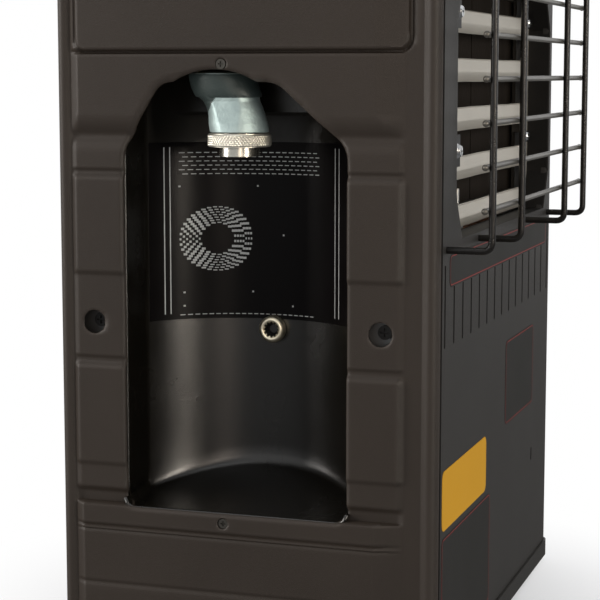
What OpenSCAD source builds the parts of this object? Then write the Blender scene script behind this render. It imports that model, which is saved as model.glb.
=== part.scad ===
// Portable gas heater with a bottle niche in its left side.
// Millimetres. +Z is up, the radiant front faces -Y and the bottle side faces -X.
// The origin is in the middle of the whole object's footprint, on the floor.

/* [Cabinet] */
// Width of the cabinet, from the bottle side to the plain side
body_w = 326; // [310:1:360]
// Height of the side covers and sheets, from the underside of the base
side_h = 425; // [420:1:440]
// Height of the moulded top above the side covers
top_h = 15; // [12:1:24]
// Height of the base tray's rim
base_h = 11; // [8:1:16]
// How far the base tray's rim stands out all round
trim_out = 1.5; // [1.2:0.1:3]
// Height of the rubber feet
foot_h = 5; // [3:0.5:10]
// Diameter of the rubber feet
foot_d = 22; // [16:1:30]
// Radius of the cabinet's upright corners
corner_r = 10; // [8:0.5:12]
// Thickness of the steel sheets
sheet_t = 1; // [0.8:0.1:1.5]
// Wall thickness of the moulded covers
cover_t = 2.6; // [2.4:0.1:3]

/* [Radiant front] */
// Distance of the opening's left edge from the bottle side
open_x = 40; // [36:1:46]
// Distance of the opening's right edge from the plain side
open_side = 16; // [14:1:22]
// Height of the opening's lower edge above the underside of the base
open_z = 250; // [246:1:254]
// Height of the radiant opening
open_h = 146; // [140:1:150]
// Width of the opening's cut corners
open_cut_w = 15; // [8:1:24]
// Height of the opening's cut corners
open_cut_h = 25; // [12:1:30]
// Number of vent slots below the opening
slot_n = 15; // [8:1:15]
// Distance between vent slots
slot_pitch = 21; // [16:0.5:21]
// Width of a vent slot
slot_w = 3; // [2:0.5:5]
// Height of a vent slot
slot_h = 46; // [30:1:48]
// Height of the slots' lower ends above the underside of the base
slot_z = 192.5; // [180:0.5:196]
// Depth of the reflector behind the front sheet
reflector_d = 15; // [13:1:18]
// Number of reflector slats
slat_n = 5; // [4:1:5]
// Distance between reflector slats
slat_pitch = 28.5; // [26:0.5:28.5]
// Height of one reflector slat
slat_h = 13; // [10:0.5:16]

/* [Wire guard] */
// Diameter of the upright wires
upright_d = 4; // [3.5:0.1:5]
// Diameter of the cross wires
cross_d = 3.2; // [2.8:0.1:4]
// Distance of the upright wires' middle from the front sheet
guard_off = 25; // [20:0.5:30]
// Bend radius of the upright wires
guard_bend = 5.5; // [5:0.5:12]
// Height of the lowest cross wire above the uprights' lower legs
guard_under = 21.7; // [18:0.1:24]
// Height of the uprights' upper legs above the highest cross wire
guard_over = 23.3; // [18:0.1:26]
// Distance of the outer uprights from the cabinet's sides
guard_side = 19; // [17:1:24]
// Distance of the left inner upright from the bottle side
guard_left = 97; // [86:1:110]
// Distance of the right inner upright from the plain side
guard_right = 90; // [80:1:110]
// Number of cross wires
cross_n = 6; // [4:1:6]
// Distance between cross wires
cross_pitch = 23.6; // [20:0.4:23.6]
// Height of the lowest cross wire above the underside of the base
cross_z = 268.2; // [266:0.2:274]

/* [Bottle niche] */
// Distance of the niche's front edge from the front sheet
niche_y = 52.5; // [52:0.5:56]
// Width of the niche
niche_w = 132; // [126:1:134]
// Distance of the niche's rear edge from the rear sheet
niche_rear = 41.5; // [40:0.5:60]
// Height of the niche floor and ledge above the underside of the base
niche_z = 94; // [84:1:98]
// Height of the niche opening's top edge above the underside of the base
niche_top = 337.4; // [335:0.2:340]
// Height at which the upper corners of the opening start to close in
niche_shoulder = 300; // [294:1:306]
// Depth of the niche at its middle
niche_depth = 72; // [70:1:74]
// Radius of the concave back wall
niche_r = 76; // [74:1:80]
// How far the niche floor rises at the back
floor_rise = 16; // [8:1:18]
// Wall thickness of the niche liner
liner_t = 2.2; // [1.8:0.1:2.6]

/* [Side relief] */
// Depth of the band below the raised pad
band_in = 1.2; // [0.8:0.1:1.6]
// Depth of the rails beside the niche
rail_in = 3; // [2.4:0.1:3.4]
// Height of the raised pad's lower edge above the underside of the base
pad_z = 355; // [352:1:360]
// Height of the foot of the slope above the rails
rail_top = 306; // [304:1:310]
// Height of the top of the slope above the rails
slope_top = 320; // [316:1:326]
// Height of the rail holes above the underside of the base
rail_hole_z = 200.5; // [195:0.5:206]
// Diameter of the rail holes
rail_hole_d = 13.4; // [11:0.2:15]

/* [Regulator] */
// Depth of the regulator's axis behind the side face
reg_in = 22; // [21.5:0.5:23]
// Distance of the regulator's axis from the front sheet
reg_y = 121.2; // [116:0.2:124]
// Height of the swivel axis above the underside of the base
swivel_z = 348; // [347.5:0.5:350]
// Depth of the swivel axis behind the side face
swivel_in = 12; // [11.5:0.5:13]
// Diameter of the swivel pin
swivel_d = 6; // [5:0.5:6.5]
// Height of the knurled ring's lower face above the underside of the base
ring_z = 301; // [298:0.5:304]
// Diameter of the knurled ring
ring_d = 36.2; // [34:0.2:38]
// Height of the knurled ring
ring_h = 7.6; // [6:0.2:8.4]
// Diameter of the cylinder socket below the ring
socket_d = 22.8; // [20:0.2:24]
// Length of the cylinder socket below the ring
socket_out = 5.2; // [4:0.2:8]
// Bore of the cylinder socket, the outside of its 7/16 inch thread
socket_bore = 11.1; // [8:0.1:13]

/* [Controls] */
// Distance of the control knob's axis from the plain side
knob_side = 66; // [60:1:72]
// Distance of the control knob's axis from the front sheet
knob_y = 78; // [74:1:82]
// Diameter of the control knob
knob_d = 40; // [32:1:44]
// Height of the control knob
knob_h = 15; // [12:1:17]
// How far the knob pushes in
knob_travel = 4; // [2:0.5:5]
// Diameter of the valve stem
stem_d = 6; // [5:0.5:8]
// Diameter of the valve plug
plug_d = 18; // [14:1:20]
// Distance of the igniter button's axis from the front sheet
button_y = 140; // [130:1:150]
// Diameter of the igniter button
button_d = 14; // [10:1:18]
// How far the igniter button pushes in
button_travel = 6; // [3:0.5:7]

/* [Carry handle] */
// Diameter of the handle's steel bar
bar_d = 7; // [6:0.5:8]
// Distance of the handle's arms from the cabinet's sides
arm_side = 31; // [28:1:40]
// Distance of the handle's pivots from the front sheet
pivot_y = 110; // [100:1:120]
// Length of the handle's arms
arm_l = 85; // [70:1:90]
// Height of the handle's axis above the moulded top
pivot_h = 12; // [11.5:0.5:16]
// Diameter of the handle's grip
grip_d = 20; // [16:1:21]
// Length of the handle's grip
grip_l = 120; // [90:1:180]

/* [Clearances] */
// Radial clearance of the turning pins and rings
run_gap = 0.05; // [0.03:0.01:0.09]
// Gap between fixed covers and sheets
seam_gap = 0.5; // [0.3:0.1:1]
// Gap between a moving piece and what stands beside it
free_gap = 0.4; // [0.3:0.1:0.8]

/* [Hidden] */
$fn = 48;
eps = 0.01;
guard_reach = guard_off + upright_d / 2;
body_d = niche_y + niche_w + niche_rear;
x_left = -body_w / 2;
x_right = body_w / 2;
y_front = -(body_d + trim_out - guard_reach) / 2;
y_rear = y_front + body_d;
z_base = foot_h;
tray_t = 1.5;
z_deck = z_base + tray_t;
z_side = z_base + side_h;
z_top = z_side + top_h;
roof_t = 3;
fit_gap = 0.2;
sheet_gap = 4;

// Feet and tray vents
foot_in_x = 32;
foot_in_y = 26;
foot_pin_d = 4.6;
foot_hollow_d = 9;
foot_hollow_h = 2;
tray_vent_w = 5;
tray_vent_l = 70;
tray_vent_n = 13;
tray_vent_pitch = 20;

// Edge of the front and rear sheets, just past the covers' rounded corners
sheet_edge = corner_r;
return_l = corner_r - seam_gap;

// Place of the control knob
kx = x_right - knob_side;
ky = y_front + knob_y;

// Radiant opening
open_x0 = x_left + open_x;
open_x1 = x_right - open_side;
open_w = open_x1 - open_x0;
open_z0 = z_base + open_z;
open_z1 = open_z0 + open_h;

// Reflector behind the front sheet
ref_y0 = y_front + sheet_t;
ref_y1 = y_front + reflector_d;
ref_t = 0.8;
slat_z0 = open_z0 + 8 - slat_h / 2;
flange_w = 22;
box_flange = 4;
slat_ridge = 1.5;
slat_back = ref_y1 + ref_t / 2;
pan_d = 9.5;
pan_h = 3.2;

// Burner behind the reflector
plaque_gap = 9;
plaque_y0 = ref_y1 + plaque_gap;
plaque_t = 12;
house_t = 1.2;
house_y0 = plaque_y0 - 2;
house_d = 24;
house_y1 = house_y0 + house_d;
house_x0 = open_x0 + 8;
house_x1 = open_x1 - 8;
house_z0 = open_z0 + 12;
house_z1 = open_z1 - 4;
house_rim = 8;
lug_l = 10;
lug_h = 20;
tube_d = 22;
tube_t = 1.2;
tube_y = house_y1 + 4 + tube_d / 2;
tube_z = open_z0 + 45;
shield_y = tube_y + tube_d / 2 + 4;
shield_vent_w = 30;
shield_vent_h = 90;
shield_vent_x = 30;
shield_vent_step = 40;
shield_vent_z = 60;
tube_l = 75;
tube_x1 = kx - 2;
tube_x0 = tube_x1 - tube_l;
branch_x = tube_x0 + 14;
jet_d = 12;
jet_bore = 1;
pilot_x = open_x0 + 66;
pilot_z = slat_z0 + slat_h + 1;
pilot_y = ref_y1 + 4;
pilot_row = pilot_y + 10;
lead_row = pilot_y + 20;

// Niche
nx = x_left;
ny0 = y_front + niche_y;
ny1 = ny0 + niche_w;
nyc = (ny0 + ny1) / 2;
nz0 = z_base + niche_z;
nz_top = z_base + niche_top;
liner_x = nx + rail_in + cover_t;
back_x = nx + niche_depth - niche_r;
straight_d = 30.24;
block_d = 48;
tab_w = 12;
ramp_d0 = niche_depth * 0.3;
ramp_d1 = niche_depth * 0.7;
block_z = z_base + 318;
label_t = 0.3;
bolt_d = 8;
bolt_head_d = 16;
bolt_head_out = 5.5;
bolt_socket_w = 9;
bolt_tail = 12;
nut_w = 15;
nut_h = 6.5;
pipe_room = 4;
label_z0 = z_base + 197;
label_z1 = z_base + 302;
bolt_z = z_base + 191;
bolt_seat = back_x + sqrt(niche_r * niche_r - 64) - 0.02;
cut_front = 40.4;
cut_rear = 27.5;
arch_w = 46;
arch_h = 6.6;
arch_r = (pow(arch_w / 2, 2) + pow(arch_h, 2)) / (2 * arch_h);
arch_y = y_front + 133;

// Flat part of the side's middle and the border columns beside it
face_y0 = y_front + 19;
face_y1 = y_rear - 14;
panel_out = 1.3;
upper_panel_z = 229;
upper_panel_h = 55;
middle_panel_z = 118;
middle_panel_h = 57.5;
ledge_h = 15;
ledge_line = 19;
ledge_in = 0.6;
lower_panel_z = 46;
screw_from_top = 77.8;
screw_from_ledge = 5.6;
cover_screw_d = 3;
cover_head_d = 5.6;
cover_head_h = 1.4;
far_rib_n = 5;
far_rib_z = 120;
far_rib_pitch = 36;
far_rib_h = 12;
far_rib_in = 22;

// Frame posts and the holes over them
notch_gap = 3;
post_x = 18;
post_t = 1.2;
post_w = 46;
post_leg = 15;
hole_ya = ny0 - 19.5;
hole_yb = ny1 + 19.2;
hole_wall = 2.3;
rail_screw_d = 3.4;
rail_head_d = 8;
rail_head_h = 3;
hole_floor = 2.4;
rear_screw_d = 4;
rear_head_d = 8;
rear_in = 7;

// Regulator
rx = nx + reg_in;
ry = y_front + reg_y;
rz = z_base + swivel_z;
sx = nx + swivel_in;
ring_z0 = z_base + ring_z;
ring_z1 = ring_z0 + ring_h;
neck_z = ring_z1 + free_gap;
spigot_d = 22;
plug_in_d = 14;
plug_in_h = 6;
gas_bore = 4;
waist_d = 27;
cap_dome_h = 2.4;
knurl_step = 10;
knurl_w = 1.2;
collar_t = 3;
pin_bore = 2;
collar_d = swivel_d + 4;
cap_y = ry + 11.5;
cap_z = z_base + 329;
cap_h = 11;
cap_d = 35;
hub_d = swivel_d + 6;
nz_roof = rz + hub_d / 2 + 4;
stalk_d = 8;
stalk_x = rx - 6;
hub_y0 = ry - 12;
hub_y1 = ry + 20;
pin_y1 = ny1 + liner_t + 8;
elbow_s = 12;

// Chassis plate between the niche and the middle of the cabinet
chassis_x = nx + 86;
chassis_t = 1.2;

// Controls
valve_w = 40;
valve_d = 34;
valve_z0 = z_side - 34;
valve_z1 = z_side - 4;
plug_z0 = valve_z0 + 6;
plug_z1 = valve_z1 - 2;
stem_z1 = z_top + 3 + knob_travel + knob_h - 3;
knob_z0 = z_top + 3 + knob_travel;
bezel_t = 1.5;
knob_step = 2;
flute_step = 24;
flute_d = 3;
mark_w = 1.6;
tick_w = 1;
tick_l = 3;
igniter_lip = 3;
switch_w = 30;
switch_d = 20;
switch_h = 26;
switch_foot = 8;
switch_y = y_rear - 50;
by = y_front + button_y;
button_z1 = z_top + 3 + button_travel;
igniter_d = 20;
igniter_z0 = z_top - 52;
gas_z = valve_z0 + 14;
riser_y = shield_y - 4;
pipe_d = 6;
drop_x = kx + valve_w / 2 + 11;
inlet_x = kx - valve_w / 2 - 16;

// Handle
hz = z_top + pivot_h;
hy = y_front + pivot_y;
hx = body_w / 2 - arm_side;
lug_w = 9;
lug_gap = 1;
lug_t = lug_w - 3;
lug_d = 16;
lug_foot = 4;
lug_foot_l = 28;
bar_bend = 9;
bar_end = hx + lug_w + lug_gap + 2;
grip_step = 2;
grip_end = 4;

// Grille in the top
bezel_d = knob_d + 12;
grille_gap = 38;
grille_x0 = x_left + arm_side + lug_w;
grille_x1 = kx - bezel_d / 2 - grille_gap;
grille_y0 = y_front + 30;
grille_y1 = grille_y0 + 140;
grille_lip = 4;
grille_t = 1.2;
grille_slot_w = 5;
grille_slot_l = 40;
grille_row = 46;
grille_pitch = 10.9;
grille_n = floor((grille_x1 - grille_x0 - grille_slot_w - 1) / grille_pitch) + 1;

// Box from one corner to the other
module block(a, b) {
    translate(a)
        cube(b - a);
}

// Straight round bar between two points along one axis direction
module rod_x(x0, x1, y, z, d) {
    translate([x0, y, z])
        rotate([0, 90, 0])
            cylinder(h = x1 - x0, d = d);
}

module rod_y(y0, y1, x, z, d) {
    translate([x, y0, z])
        rotate([-90, 0, 0])
            cylinder(h = y1 - y0, d = d);
}

module rod_z(z0, z1, x, y, d) {
    translate([x, y, z0])
        cylinder(h = z1 - z0, d = d);
}

// Cabinet outline in plan, drawn in by an inset, with round corners
module plan(inset) {
    r = corner_r - inset;
    w = body_w - 2 * inset;
    d = body_d - 2 * inset;
    translate([x_left + inset, y_front + inset]) {
        translate([r, 0])
            square([w - 2 * r, d]);
        translate([0, r])
            square([w, d - 2 * r]);
        for (x = [r, w - r], y = [r, d - r])
            translate([x, y])
                circle(r = r);
    }
}

// Pipe of straight runs between points, each run along one axis, with round joints
module pipe(points, d) {
    for (i = [0:len(points) - 2]) {
        a = points[i];
        b = points[i + 1];
        v = b - a;
        l = norm(v);
        translate(a)
            rotate([0, acos(v[2] / l), atan2(v[1], v[0])])
                cylinder(h = l, d = d, $fn = 24);
    }
    for (i = [1:len(points) - 2])
        translate(points[i])
            sphere(d = d, $fn = 24);
}

module base_tray() {
    color("#3b3a38")
    difference() {
        translate([0, 0, z_base])
            linear_extrude(base_h)
                plan(-trim_out);
        translate([0, 0, z_deck])
            linear_extrude(base_h)
                plan(-fit_gap);
        for (x = foot_xs(), y = foot_ys())
            rod_z(z_base - 1, z_deck + 1, x, y, foot_pin_d + 2 * fit_gap);
        for (i = [0:tray_vent_n - 1])
            translate([(i - (tray_vent_n - 1) / 2) * tray_vent_pitch, y_front + body_d / 2, z_base - 1])
                linear_extrude(tray_t + 2)
                    vent_outline(tray_vent_w, tray_vent_l);
    }
}

function foot_xs() = [x_left + foot_in_x, x_right - foot_in_x];
function foot_ys() = [y_front + foot_in_y, y_rear - foot_in_y];

// Slot with round ends, upright in its drawing plane and centred
module vent_outline(w, h) {
    translate([-w / 2, -(h - w) / 2])
        square([w, h - w]);
    for (s = [-1, 1])
        translate([0, s * (h - w) / 2])
            circle(d = w, $fn = 24);
}

module feet() {
    color("#1c1c1c")
    for (x = foot_xs(), y = foot_ys())
        difference() {
            union() {
                rod_z(0, foot_h, x, y, foot_d);
                rod_z(foot_h - eps, z_deck + foot_hollow_h, x, y, foot_pin_d);
            }
            rod_z(-1, foot_hollow_h, x, y, foot_hollow_d);
        }
}

// One corner post, an angle standing behind a cover and a sheet
module post(side, rear) {
    px = side * (body_w / 2 - post_x);
    fy = rear ? y_rear - sheet_t : y_front + sheet_t;
    dir = rear ? -1 : 1;
    block([min(px, px - side * post_t), min(fy, fy + dir * post_w), z_deck],
        [max(px, px - side * post_t), max(fy, fy + dir * post_w), z_side - sheet_gap]);
    block([min(px, px - side * post_leg), min(fy, fy + dir * post_t), z_deck],
        [max(px, px - side * post_leg), max(fy, fy + dir * post_t), z_side - sheet_gap]);
}

module frame_posts() {
    color("#8d8f90")
    difference() {
        union() {
            post(-1, false);
            intersection() {
                post(-1, true);
                block([x_left, ny1 + liner_t + free_gap, 0], [0, y_rear, z_top]);
            }
            post(1, false);
            post(1, true);
        }
        for (y = [hole_ya, hole_yb], s = [-1, 1])
            rod_x(s * (body_w / 2 - post_x) - 3, s * (body_w / 2 - post_x) + 3, y,
                z_base + rail_hole_z, rail_screw_d);
        block([x_right - post_x - post_leg - 1, y_front, open_z0 - 2 * box_flange],
            [x_right - post_x + 1, ref_y1 + ref_t + 1, open_z1 + 2 * box_flange]);
        block([nx + post_x - 2, pipe_y - elbow_s / 2 - notch_gap, rz - 20],
            [nx + post_x + notch_gap, pipe_y + elbow_s / 2 + notch_gap, z_side]);
        for (p = rear_points())
            rod_y(y_rear - sheet_t - 3, y_rear, p[0], p[1], rear_screw_d);
    }
}

module chassis_plate() {
    color("#8d8f90")
    difference() {
        block([chassis_x, shield_y, z_deck], [chassis_x + chassis_t, y_rear - sheet_t, z_side - sheet_gap]);
        rod_x(chassis_x - 1, chassis_x + chassis_t + 1, nyc, bolt_z, bolt_d + 2 * fit_gap);
        rod_x(chassis_x - 1, chassis_x + chassis_t + 1, pipe_y, pipe_z, pipe_d + pipe_room);
    }
}

pipe_y = pin_y1 + elbow_s / 2;
pipe_z = gas_z;

module heat_shield() {
    color("#a9abab")
    difference() {
        block([chassis_x + chassis_t, shield_y, z_deck],
            [x_right - post_x - post_t - 1, shield_y + ref_t, valve_z0 - 4]);
        for (x = [-1, 1])
            translate([shield_vent_x + x * shield_vent_step, shield_y + 2, z_base + shield_vent_z])
                rotate([90, 0, 0])
                    linear_extrude(4)
                        vent_outline(shield_vent_w, shield_vent_h);
        rod_y(shield_y - 1, shield_y + 2, 0, low_z, 2 * lead_d);
    }
}

// Opening of the niche in side view, drawn with Y across and Z up
module niche_outline() {
    polygon([[ny0, nz0], [ny0, z_base + niche_shoulder + 1],
        [ny0 + cut_front, nz_top], [ny1 - cut_rear, nz_top],
        [ny1, z_base + niche_shoulder], [ny1, nz0]]);
    intersection() {
        translate([arch_y, nz_top + arch_h - arch_r])
            circle(r = arch_r, $fn = 96);
        translate([arch_y - arch_w / 2, nz_top - 1])
            square([arch_w, arch_h + 2]);
    }
}

// Carries a drawing of Y and Z along X
module along_x(x0, x1) {
    translate([x0, 0, 0])
        rotate([90, 0, 90])
            linear_extrude(x1 - x0)
                children();
}

// Plate of the side face at one depth
module zone(y0, y1, z0, z1, depth) {
    block([nx + depth, y0, z0], [nx + depth + cover_t, y1, z1]);
}

// Upright slice of the side face that slopes inwards from one depth to another
module slope(y0, y1, z0, z1, depth0, depth1) {
    translate([0, y0, 0])
        rotate([90, 0, 0])
            mirror([0, 0, 1])
                linear_extrude(y1 - y0)
                    polygon([[nx + depth0, z0], [nx + depth0 + cover_t, z0],
                        [nx + depth1 + cover_t, z1], [nx + depth1, z1]]);
}

// C-shaped shell of a side cover, with its returns at the front and rear
module cover_shell(side) {
    intersection() {
        translate([0, 0, z_deck])
            linear_extrude(z_side - z_deck)
                difference() {
                    plan(0);
                    plan(cover_t);
                }
        block([side > 0 ? x_right - return_l : x_left - 1, y_front - 1, 0],
            [side > 0 ? x_right + 1 : x_left + return_l, y_rear + 1, z_top]);
    }
}

// Rail beside the niche: one recessed plate with a proud upper panel, middle panel and foot panel
module rail(y0, y1) {
    zone(y0, y1, nz0 + 2, z_base + rail_top, rail_in);
    for (span = rail_panels())
        zone(y0, y1, z_base + span[0], z_base + span[1], rail_in - panel_out);
}

// Lower and upper edges of a rail's proud panels, above the underside of the base
function rail_panels() = [[upper_panel_z, upper_panel_z + upper_panel_h],
    [middle_panel_z, middle_panel_z + middle_panel_h]];

module niche_cover() {
    color("#3a3632")
    difference() {
        union() {
            difference() {
                cover_shell(-1);
                block([nx - 1, face_y0, 0], [nx + cover_t + 1, face_y1, z_top]);
            }
            zone(face_y0 + 1.2, face_y1 - 1.2, z_base + pad_z, z_side, 0);
            zone(face_y0, face_y1, z_base + slope_top, z_side, band_in);
            zone(ny0 - 6, ny1 + 6, z_base + rail_top - 8, z_base + slope_top + 1, band_in);
            slope(face_y0, face_y1, z_base + rail_top, z_base + slope_top, rail_in, band_in);
            rail(face_y0, ny0 + 4);
            rail(ny1 - 4, face_y1);
            block([nx + ledge_in, face_y0, nz0 - ledge_h], [liner_x, face_y1, nz0]);
            block([nx + 2, face_y0, nz0 - ledge_line - 1], [liner_x, face_y1, nz0 + 2.2]);
            for (y = [face_y0 - cover_t, face_y1])
                block([nx + 1, y, z_deck], [liner_x, y + cover_t, z_base + slope_top]);
            zone(face_y0, face_y1, z_base + lower_panel_z, nz0 - ledge_line, band_in);
            zone(face_y0, face_y1, z_deck, z_base + lower_panel_z + 0.1, band_in + 0.8);
            for (y = [hole_ya, hole_yb])
                rod_x(nx + rail_in, nx + post_x, y, z_base + rail_hole_z, rail_hole_d + 2 * hole_wall);
        }
        along_x(nx - 1, nx + 12)
            niche_outline();
        for (y = [hole_ya, hole_yb]) {
            rod_x(nx, nx + post_x - hole_floor, y, z_base + rail_hole_z, rail_hole_d);
            rod_x(nx, nx + post_x + 1, y, z_base + rail_hole_z, rail_screw_d + 1);
        }
        for (z = cover_screw_zs())
            rod_x(nx, nx + 7, cover_screw_y, z, cover_screw_d + fit_gap);
        for (z = cover_screw_zs())
            rod_x(nx, nx + band_in + cover_head_h, cover_screw_y, z, cover_head_d + 2 * fit_gap);
    }
}

cover_screw_y = nyc + 5.9;
function cover_screw_zs() = [z_side - screw_from_top, nz0 - screw_from_ledge];

module cover_screws() {
    color("#8a8a86")
    for (z = cover_screw_zs())
        difference() {
            union() {
                rod_x(nx + band_in - fit_gap, nx + band_in + cover_head_h, cover_screw_y, z, cover_head_d);
                rod_x(nx + band_in, nx + band_in + cover_t + 0.9, cover_screw_y, z, cover_screw_d);
            }
            for (a = [0, 90])
                translate([nx + band_in, cover_screw_y, z])
                    rotate([a, 0, 0])
                        cube([1.6, 0.8, 3], center = true);
        }
}

module rail_screws() {
    color("#3d3d3d")
    for (y = [hole_ya, hole_yb], s = [0, 180])
        translate([0, y, z_base + rail_hole_z])
            rotate([0, s, 0])
                difference() {
                    union() {
                        rod_x(nx + post_x - hole_floor - rail_head_h, nx + post_x - hole_floor, 0, 0,
                            rail_head_d);
                        rod_x(nx + post_x - hole_floor - 0.1, nx + post_x + 6, 0, 0, rail_screw_d);
                    }
                    for (a = [0, 90])
                        translate([nx + post_x - hole_floor - rail_head_h, 0, 0])
                            rotate([a, 0, 0])
                                cube([3, 1.2, 5], center = true);
                }
}

// Plan of the niche's hollow, grown by a wall
module hollow_plan(grow) {
    translate([liner_x, ny0 - grow])
        square([straight_d - liner_x + nx, niche_w + 2 * grow]);
    intersection() {
        translate([back_x, nyc])
            circle(r = niche_r + grow, $fn = 96);
        translate([liner_x, ny0 - grow])
            square([niche_r * 2, niche_w + 2 * grow]);
    }
}

module niche_liner() {
    color("#322e2a")
    difference() {
        union() {
            translate([0, 0, nz0 - liner_t])
                linear_extrude(nz_roof + liner_t - nz0 + liner_t)
                    hollow_plan(liner_t);
            rod_x(nx + niche_depth, chassis_x, nyc, bolt_z, bolt_head_d + 2);
            block([nx + band_in + cover_t, cover_screw_y - tab_w / 2, nz_top + arch_h + seam_gap],
                [nx + band_in + cover_t + 1, cover_screw_y + tab_w / 2, nz_roof + liner_t]);
            block([nx + band_in + cover_t, cover_screw_y - tab_w / 2, nz_roof],
                [liner_x + 4, cover_screw_y + tab_w / 2, nz_roof + liner_t]);
            block([liner_x, cover_screw_y - tab_w / 2, nz0 - tab_w],
                [liner_x + 2, cover_screw_y + tab_w / 2, nz0 - 1]);
        }
        difference() {
            translate([0, 0, nz0])
                linear_extrude(nz_roof - nz0)
                    hollow_plan(0);
            floor_ramp();
            block([nx + block_d, ny0 - 1, block_z], [nx + 2 * niche_r, ny1 + 1, nz_roof + 1]);
        }
        rod_x(nx + niche_depth - 2, chassis_x + 1, nyc, bolt_z, bolt_d + 2 * fit_gap);
        rod_y(ny1 - 1, ny1 + liner_t + 1, sx, rz, swivel_d + 2 * fit_gap);
        for (z = cover_screw_zs())
            rod_x(nx, nx + 9, cover_screw_y, z, cover_screw_d + fit_gap);
    }
}

// Floor of the niche, rising in two straight steps towards the back wall
module floor_ramp() {
    translate([0, ny0 - 1, 0])
        rotate([90, 0, 0])
            mirror([0, 0, 1])
                linear_extrude(niche_w + 2)
                    polygon([[nx + ramp_d0, nz0 - 1], [nx + ramp_d0, nz0],
                        [nx + ramp_d1, nz0 + floor_rise * 0.4],
                        [nx + niche_depth + 4, nz0 + floor_rise], [nx + niche_depth + 4, nz0 - 1]]);
}

module niche_label() {
    color("#0c0b0b")
    translate([0, 0, label_z0])
        linear_extrude(label_z1 - label_z0)
            intersection() {
                difference() {
                    translate([back_x, nyc])
                        circle(r = niche_r - run_gap, $fn = 96);
                    translate([back_x, nyc])
                        circle(r = niche_r - run_gap - label_t, $fn = 96);
                }
                translate([nx + niche_depth * 0.5, ny0])
                    square([niche_r * 2, niche_w]);
            }
}

module niche_bolt() {
    color("#a8a59c")
    difference() {
        union() {
            rod_x(nx + niche_depth - bolt_head_out, bolt_seat, nyc, bolt_z, bolt_head_d);
            rod_x(bolt_seat - 0.1, chassis_x + bolt_tail, nyc, bolt_z, bolt_d);
            translate([chassis_x + chassis_t, nyc, bolt_z])
                rotate([0, 90, 0])
                    cylinder(h = nut_h, d = nut_w, $fn = 6);
        }
        translate([nx + niche_depth - bolt_head_out - 0.5, nyc, bolt_z])
            rotate([0, 90, 0])
                cylinder(h = bolt_head_out - 1, d = bolt_socket_w, $fn = 6);
    }
}

module plain_cover() {
    color("#3a3632")
    difference() {
        union() {
            difference() {
                cover_shell(1);
                block([x_right - cover_t - 1, face_y0, z_base + lower_panel_z],
                    [x_right + 1, face_y1, z_base + pad_z]);
            }
            block([x_right - band_in - cover_t, face_y0 - 3, z_base + lower_panel_z - 3],
                [x_right - band_in, face_y1 + 3, z_base + pad_z + 3]);
            for (i = [0:far_rib_n - 1])
                block([x_right - band_in - 1, face_y0 + far_rib_in, z_base + far_rib_z + i * far_rib_pitch],
                    [x_right - fit_gap, face_y1 - far_rib_in,
                        z_base + far_rib_z + far_rib_h + i * far_rib_pitch]);
            for (y = [hole_ya, hole_yb])
                rod_x(x_right - post_x, x_right - band_in, y, z_base + rail_hole_z,
                    rail_hole_d + 2 * hole_wall);
        }
        for (y = [hole_ya, hole_yb]) {
            rod_x(x_right - post_x + hole_floor, x_right + 1, y, z_base + rail_hole_z, rail_hole_d);
            rod_x(x_right - post_x - 1, x_right, y, z_base + rail_hole_z, rail_screw_d + 1);
        }
    }
}

// Outline of the radiant opening, a rectangle with cut corners, X across and Z up
module opening_outline(grow) {
    x0 = open_x0 - grow;
    x1 = open_x1 + grow;
    z0 = open_z0 - grow;
    z1 = open_z1 + grow;
    polygon([[x0 + open_cut_w, z0], [x1 - open_cut_w, z0], [x1, z0 + open_cut_h], [x1, z1 - open_cut_h],
        [x1 - open_cut_w, z1], [x0 + open_cut_w, z1], [x0, z1 - open_cut_h], [x0, z0 + open_cut_h]]);
}

// Carries a drawing of X and Z along Y
module along_y(y0, y1) {
    translate([0, y1, 0])
        rotate([90, 0, 0])
            linear_extrude(y1 - y0)
                children();
}

slot_x0 = x_left + body_w / 2 - slot_pitch * (slot_n - 1) / 2;
guard_xs = [x_left + guard_side, x_left + guard_left, x_right - guard_right, x_right - guard_side];
guard_zs = [z_base + cross_z - guard_under, z_base + cross_z + (cross_n - 1) * cross_pitch + guard_over];
leg_hole = upright_d;
cross_over = 3;
cross_bead = 0.6;
test_slot_z = 84;
test_slot_w = 3;
test_slot_h = 9;

module front_panel() {
    color("#454543")
    difference() {
        union() {
            block([x_left + sheet_edge, y_front, z_deck],
                [x_right - sheet_edge, y_front + sheet_t, z_side]);
            for (s = [-1, 1])
                block([s * (body_w / 2 - sheet_edge) - (s > 0 ? sheet_t : 0), y_front, z_deck],
                    [s * (body_w / 2 - sheet_edge) + (s > 0 ? 0 : sheet_t), y_front + 7, z_side]);
        }
        along_y(y_front - 1, y_front + sheet_t + 1)
            opening_outline(0);
        for (i = [0:slot_n - 1])
            translate([slot_x0 + i * slot_pitch, y_front + sheet_t + 1, z_base + slot_z + slot_h / 2])
                rotate([90, 0, 0])
                    linear_extrude(sheet_t + 2)
                        vent_outline(slot_w, slot_h);
        for (x = guard_xs, z = guard_zs)
            rod_y(y_front - 1, y_front + sheet_t + 1, x, z, leg_hole);
        translate([right_label_x1, y_front + sheet_t + 1, z_base + test_slot_z])
            rotate([90, 0, 0])
                linear_extrude(sheet_t + 2)
                    vent_outline(test_slot_w, test_slot_h);
    }
}

label_d = 0.2;
label_r = 5;
strip_x0 = x_left + 26;
strip_x1 = x_right - 22;
yellow_w = 110;
yellow_h = 34;
low_label_w = 122;
low_label_h = 68;
right_label_w = 88;
right_label_h = 54;
label_edge = 3;
label_strip_h = 25;
label_x0 = x_left + sheet_edge + label_edge;
yellow_z0 = z_base + 90;
right_label_x1 = x_right - 61;
right_label_z0 = z_base + 120;

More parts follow.
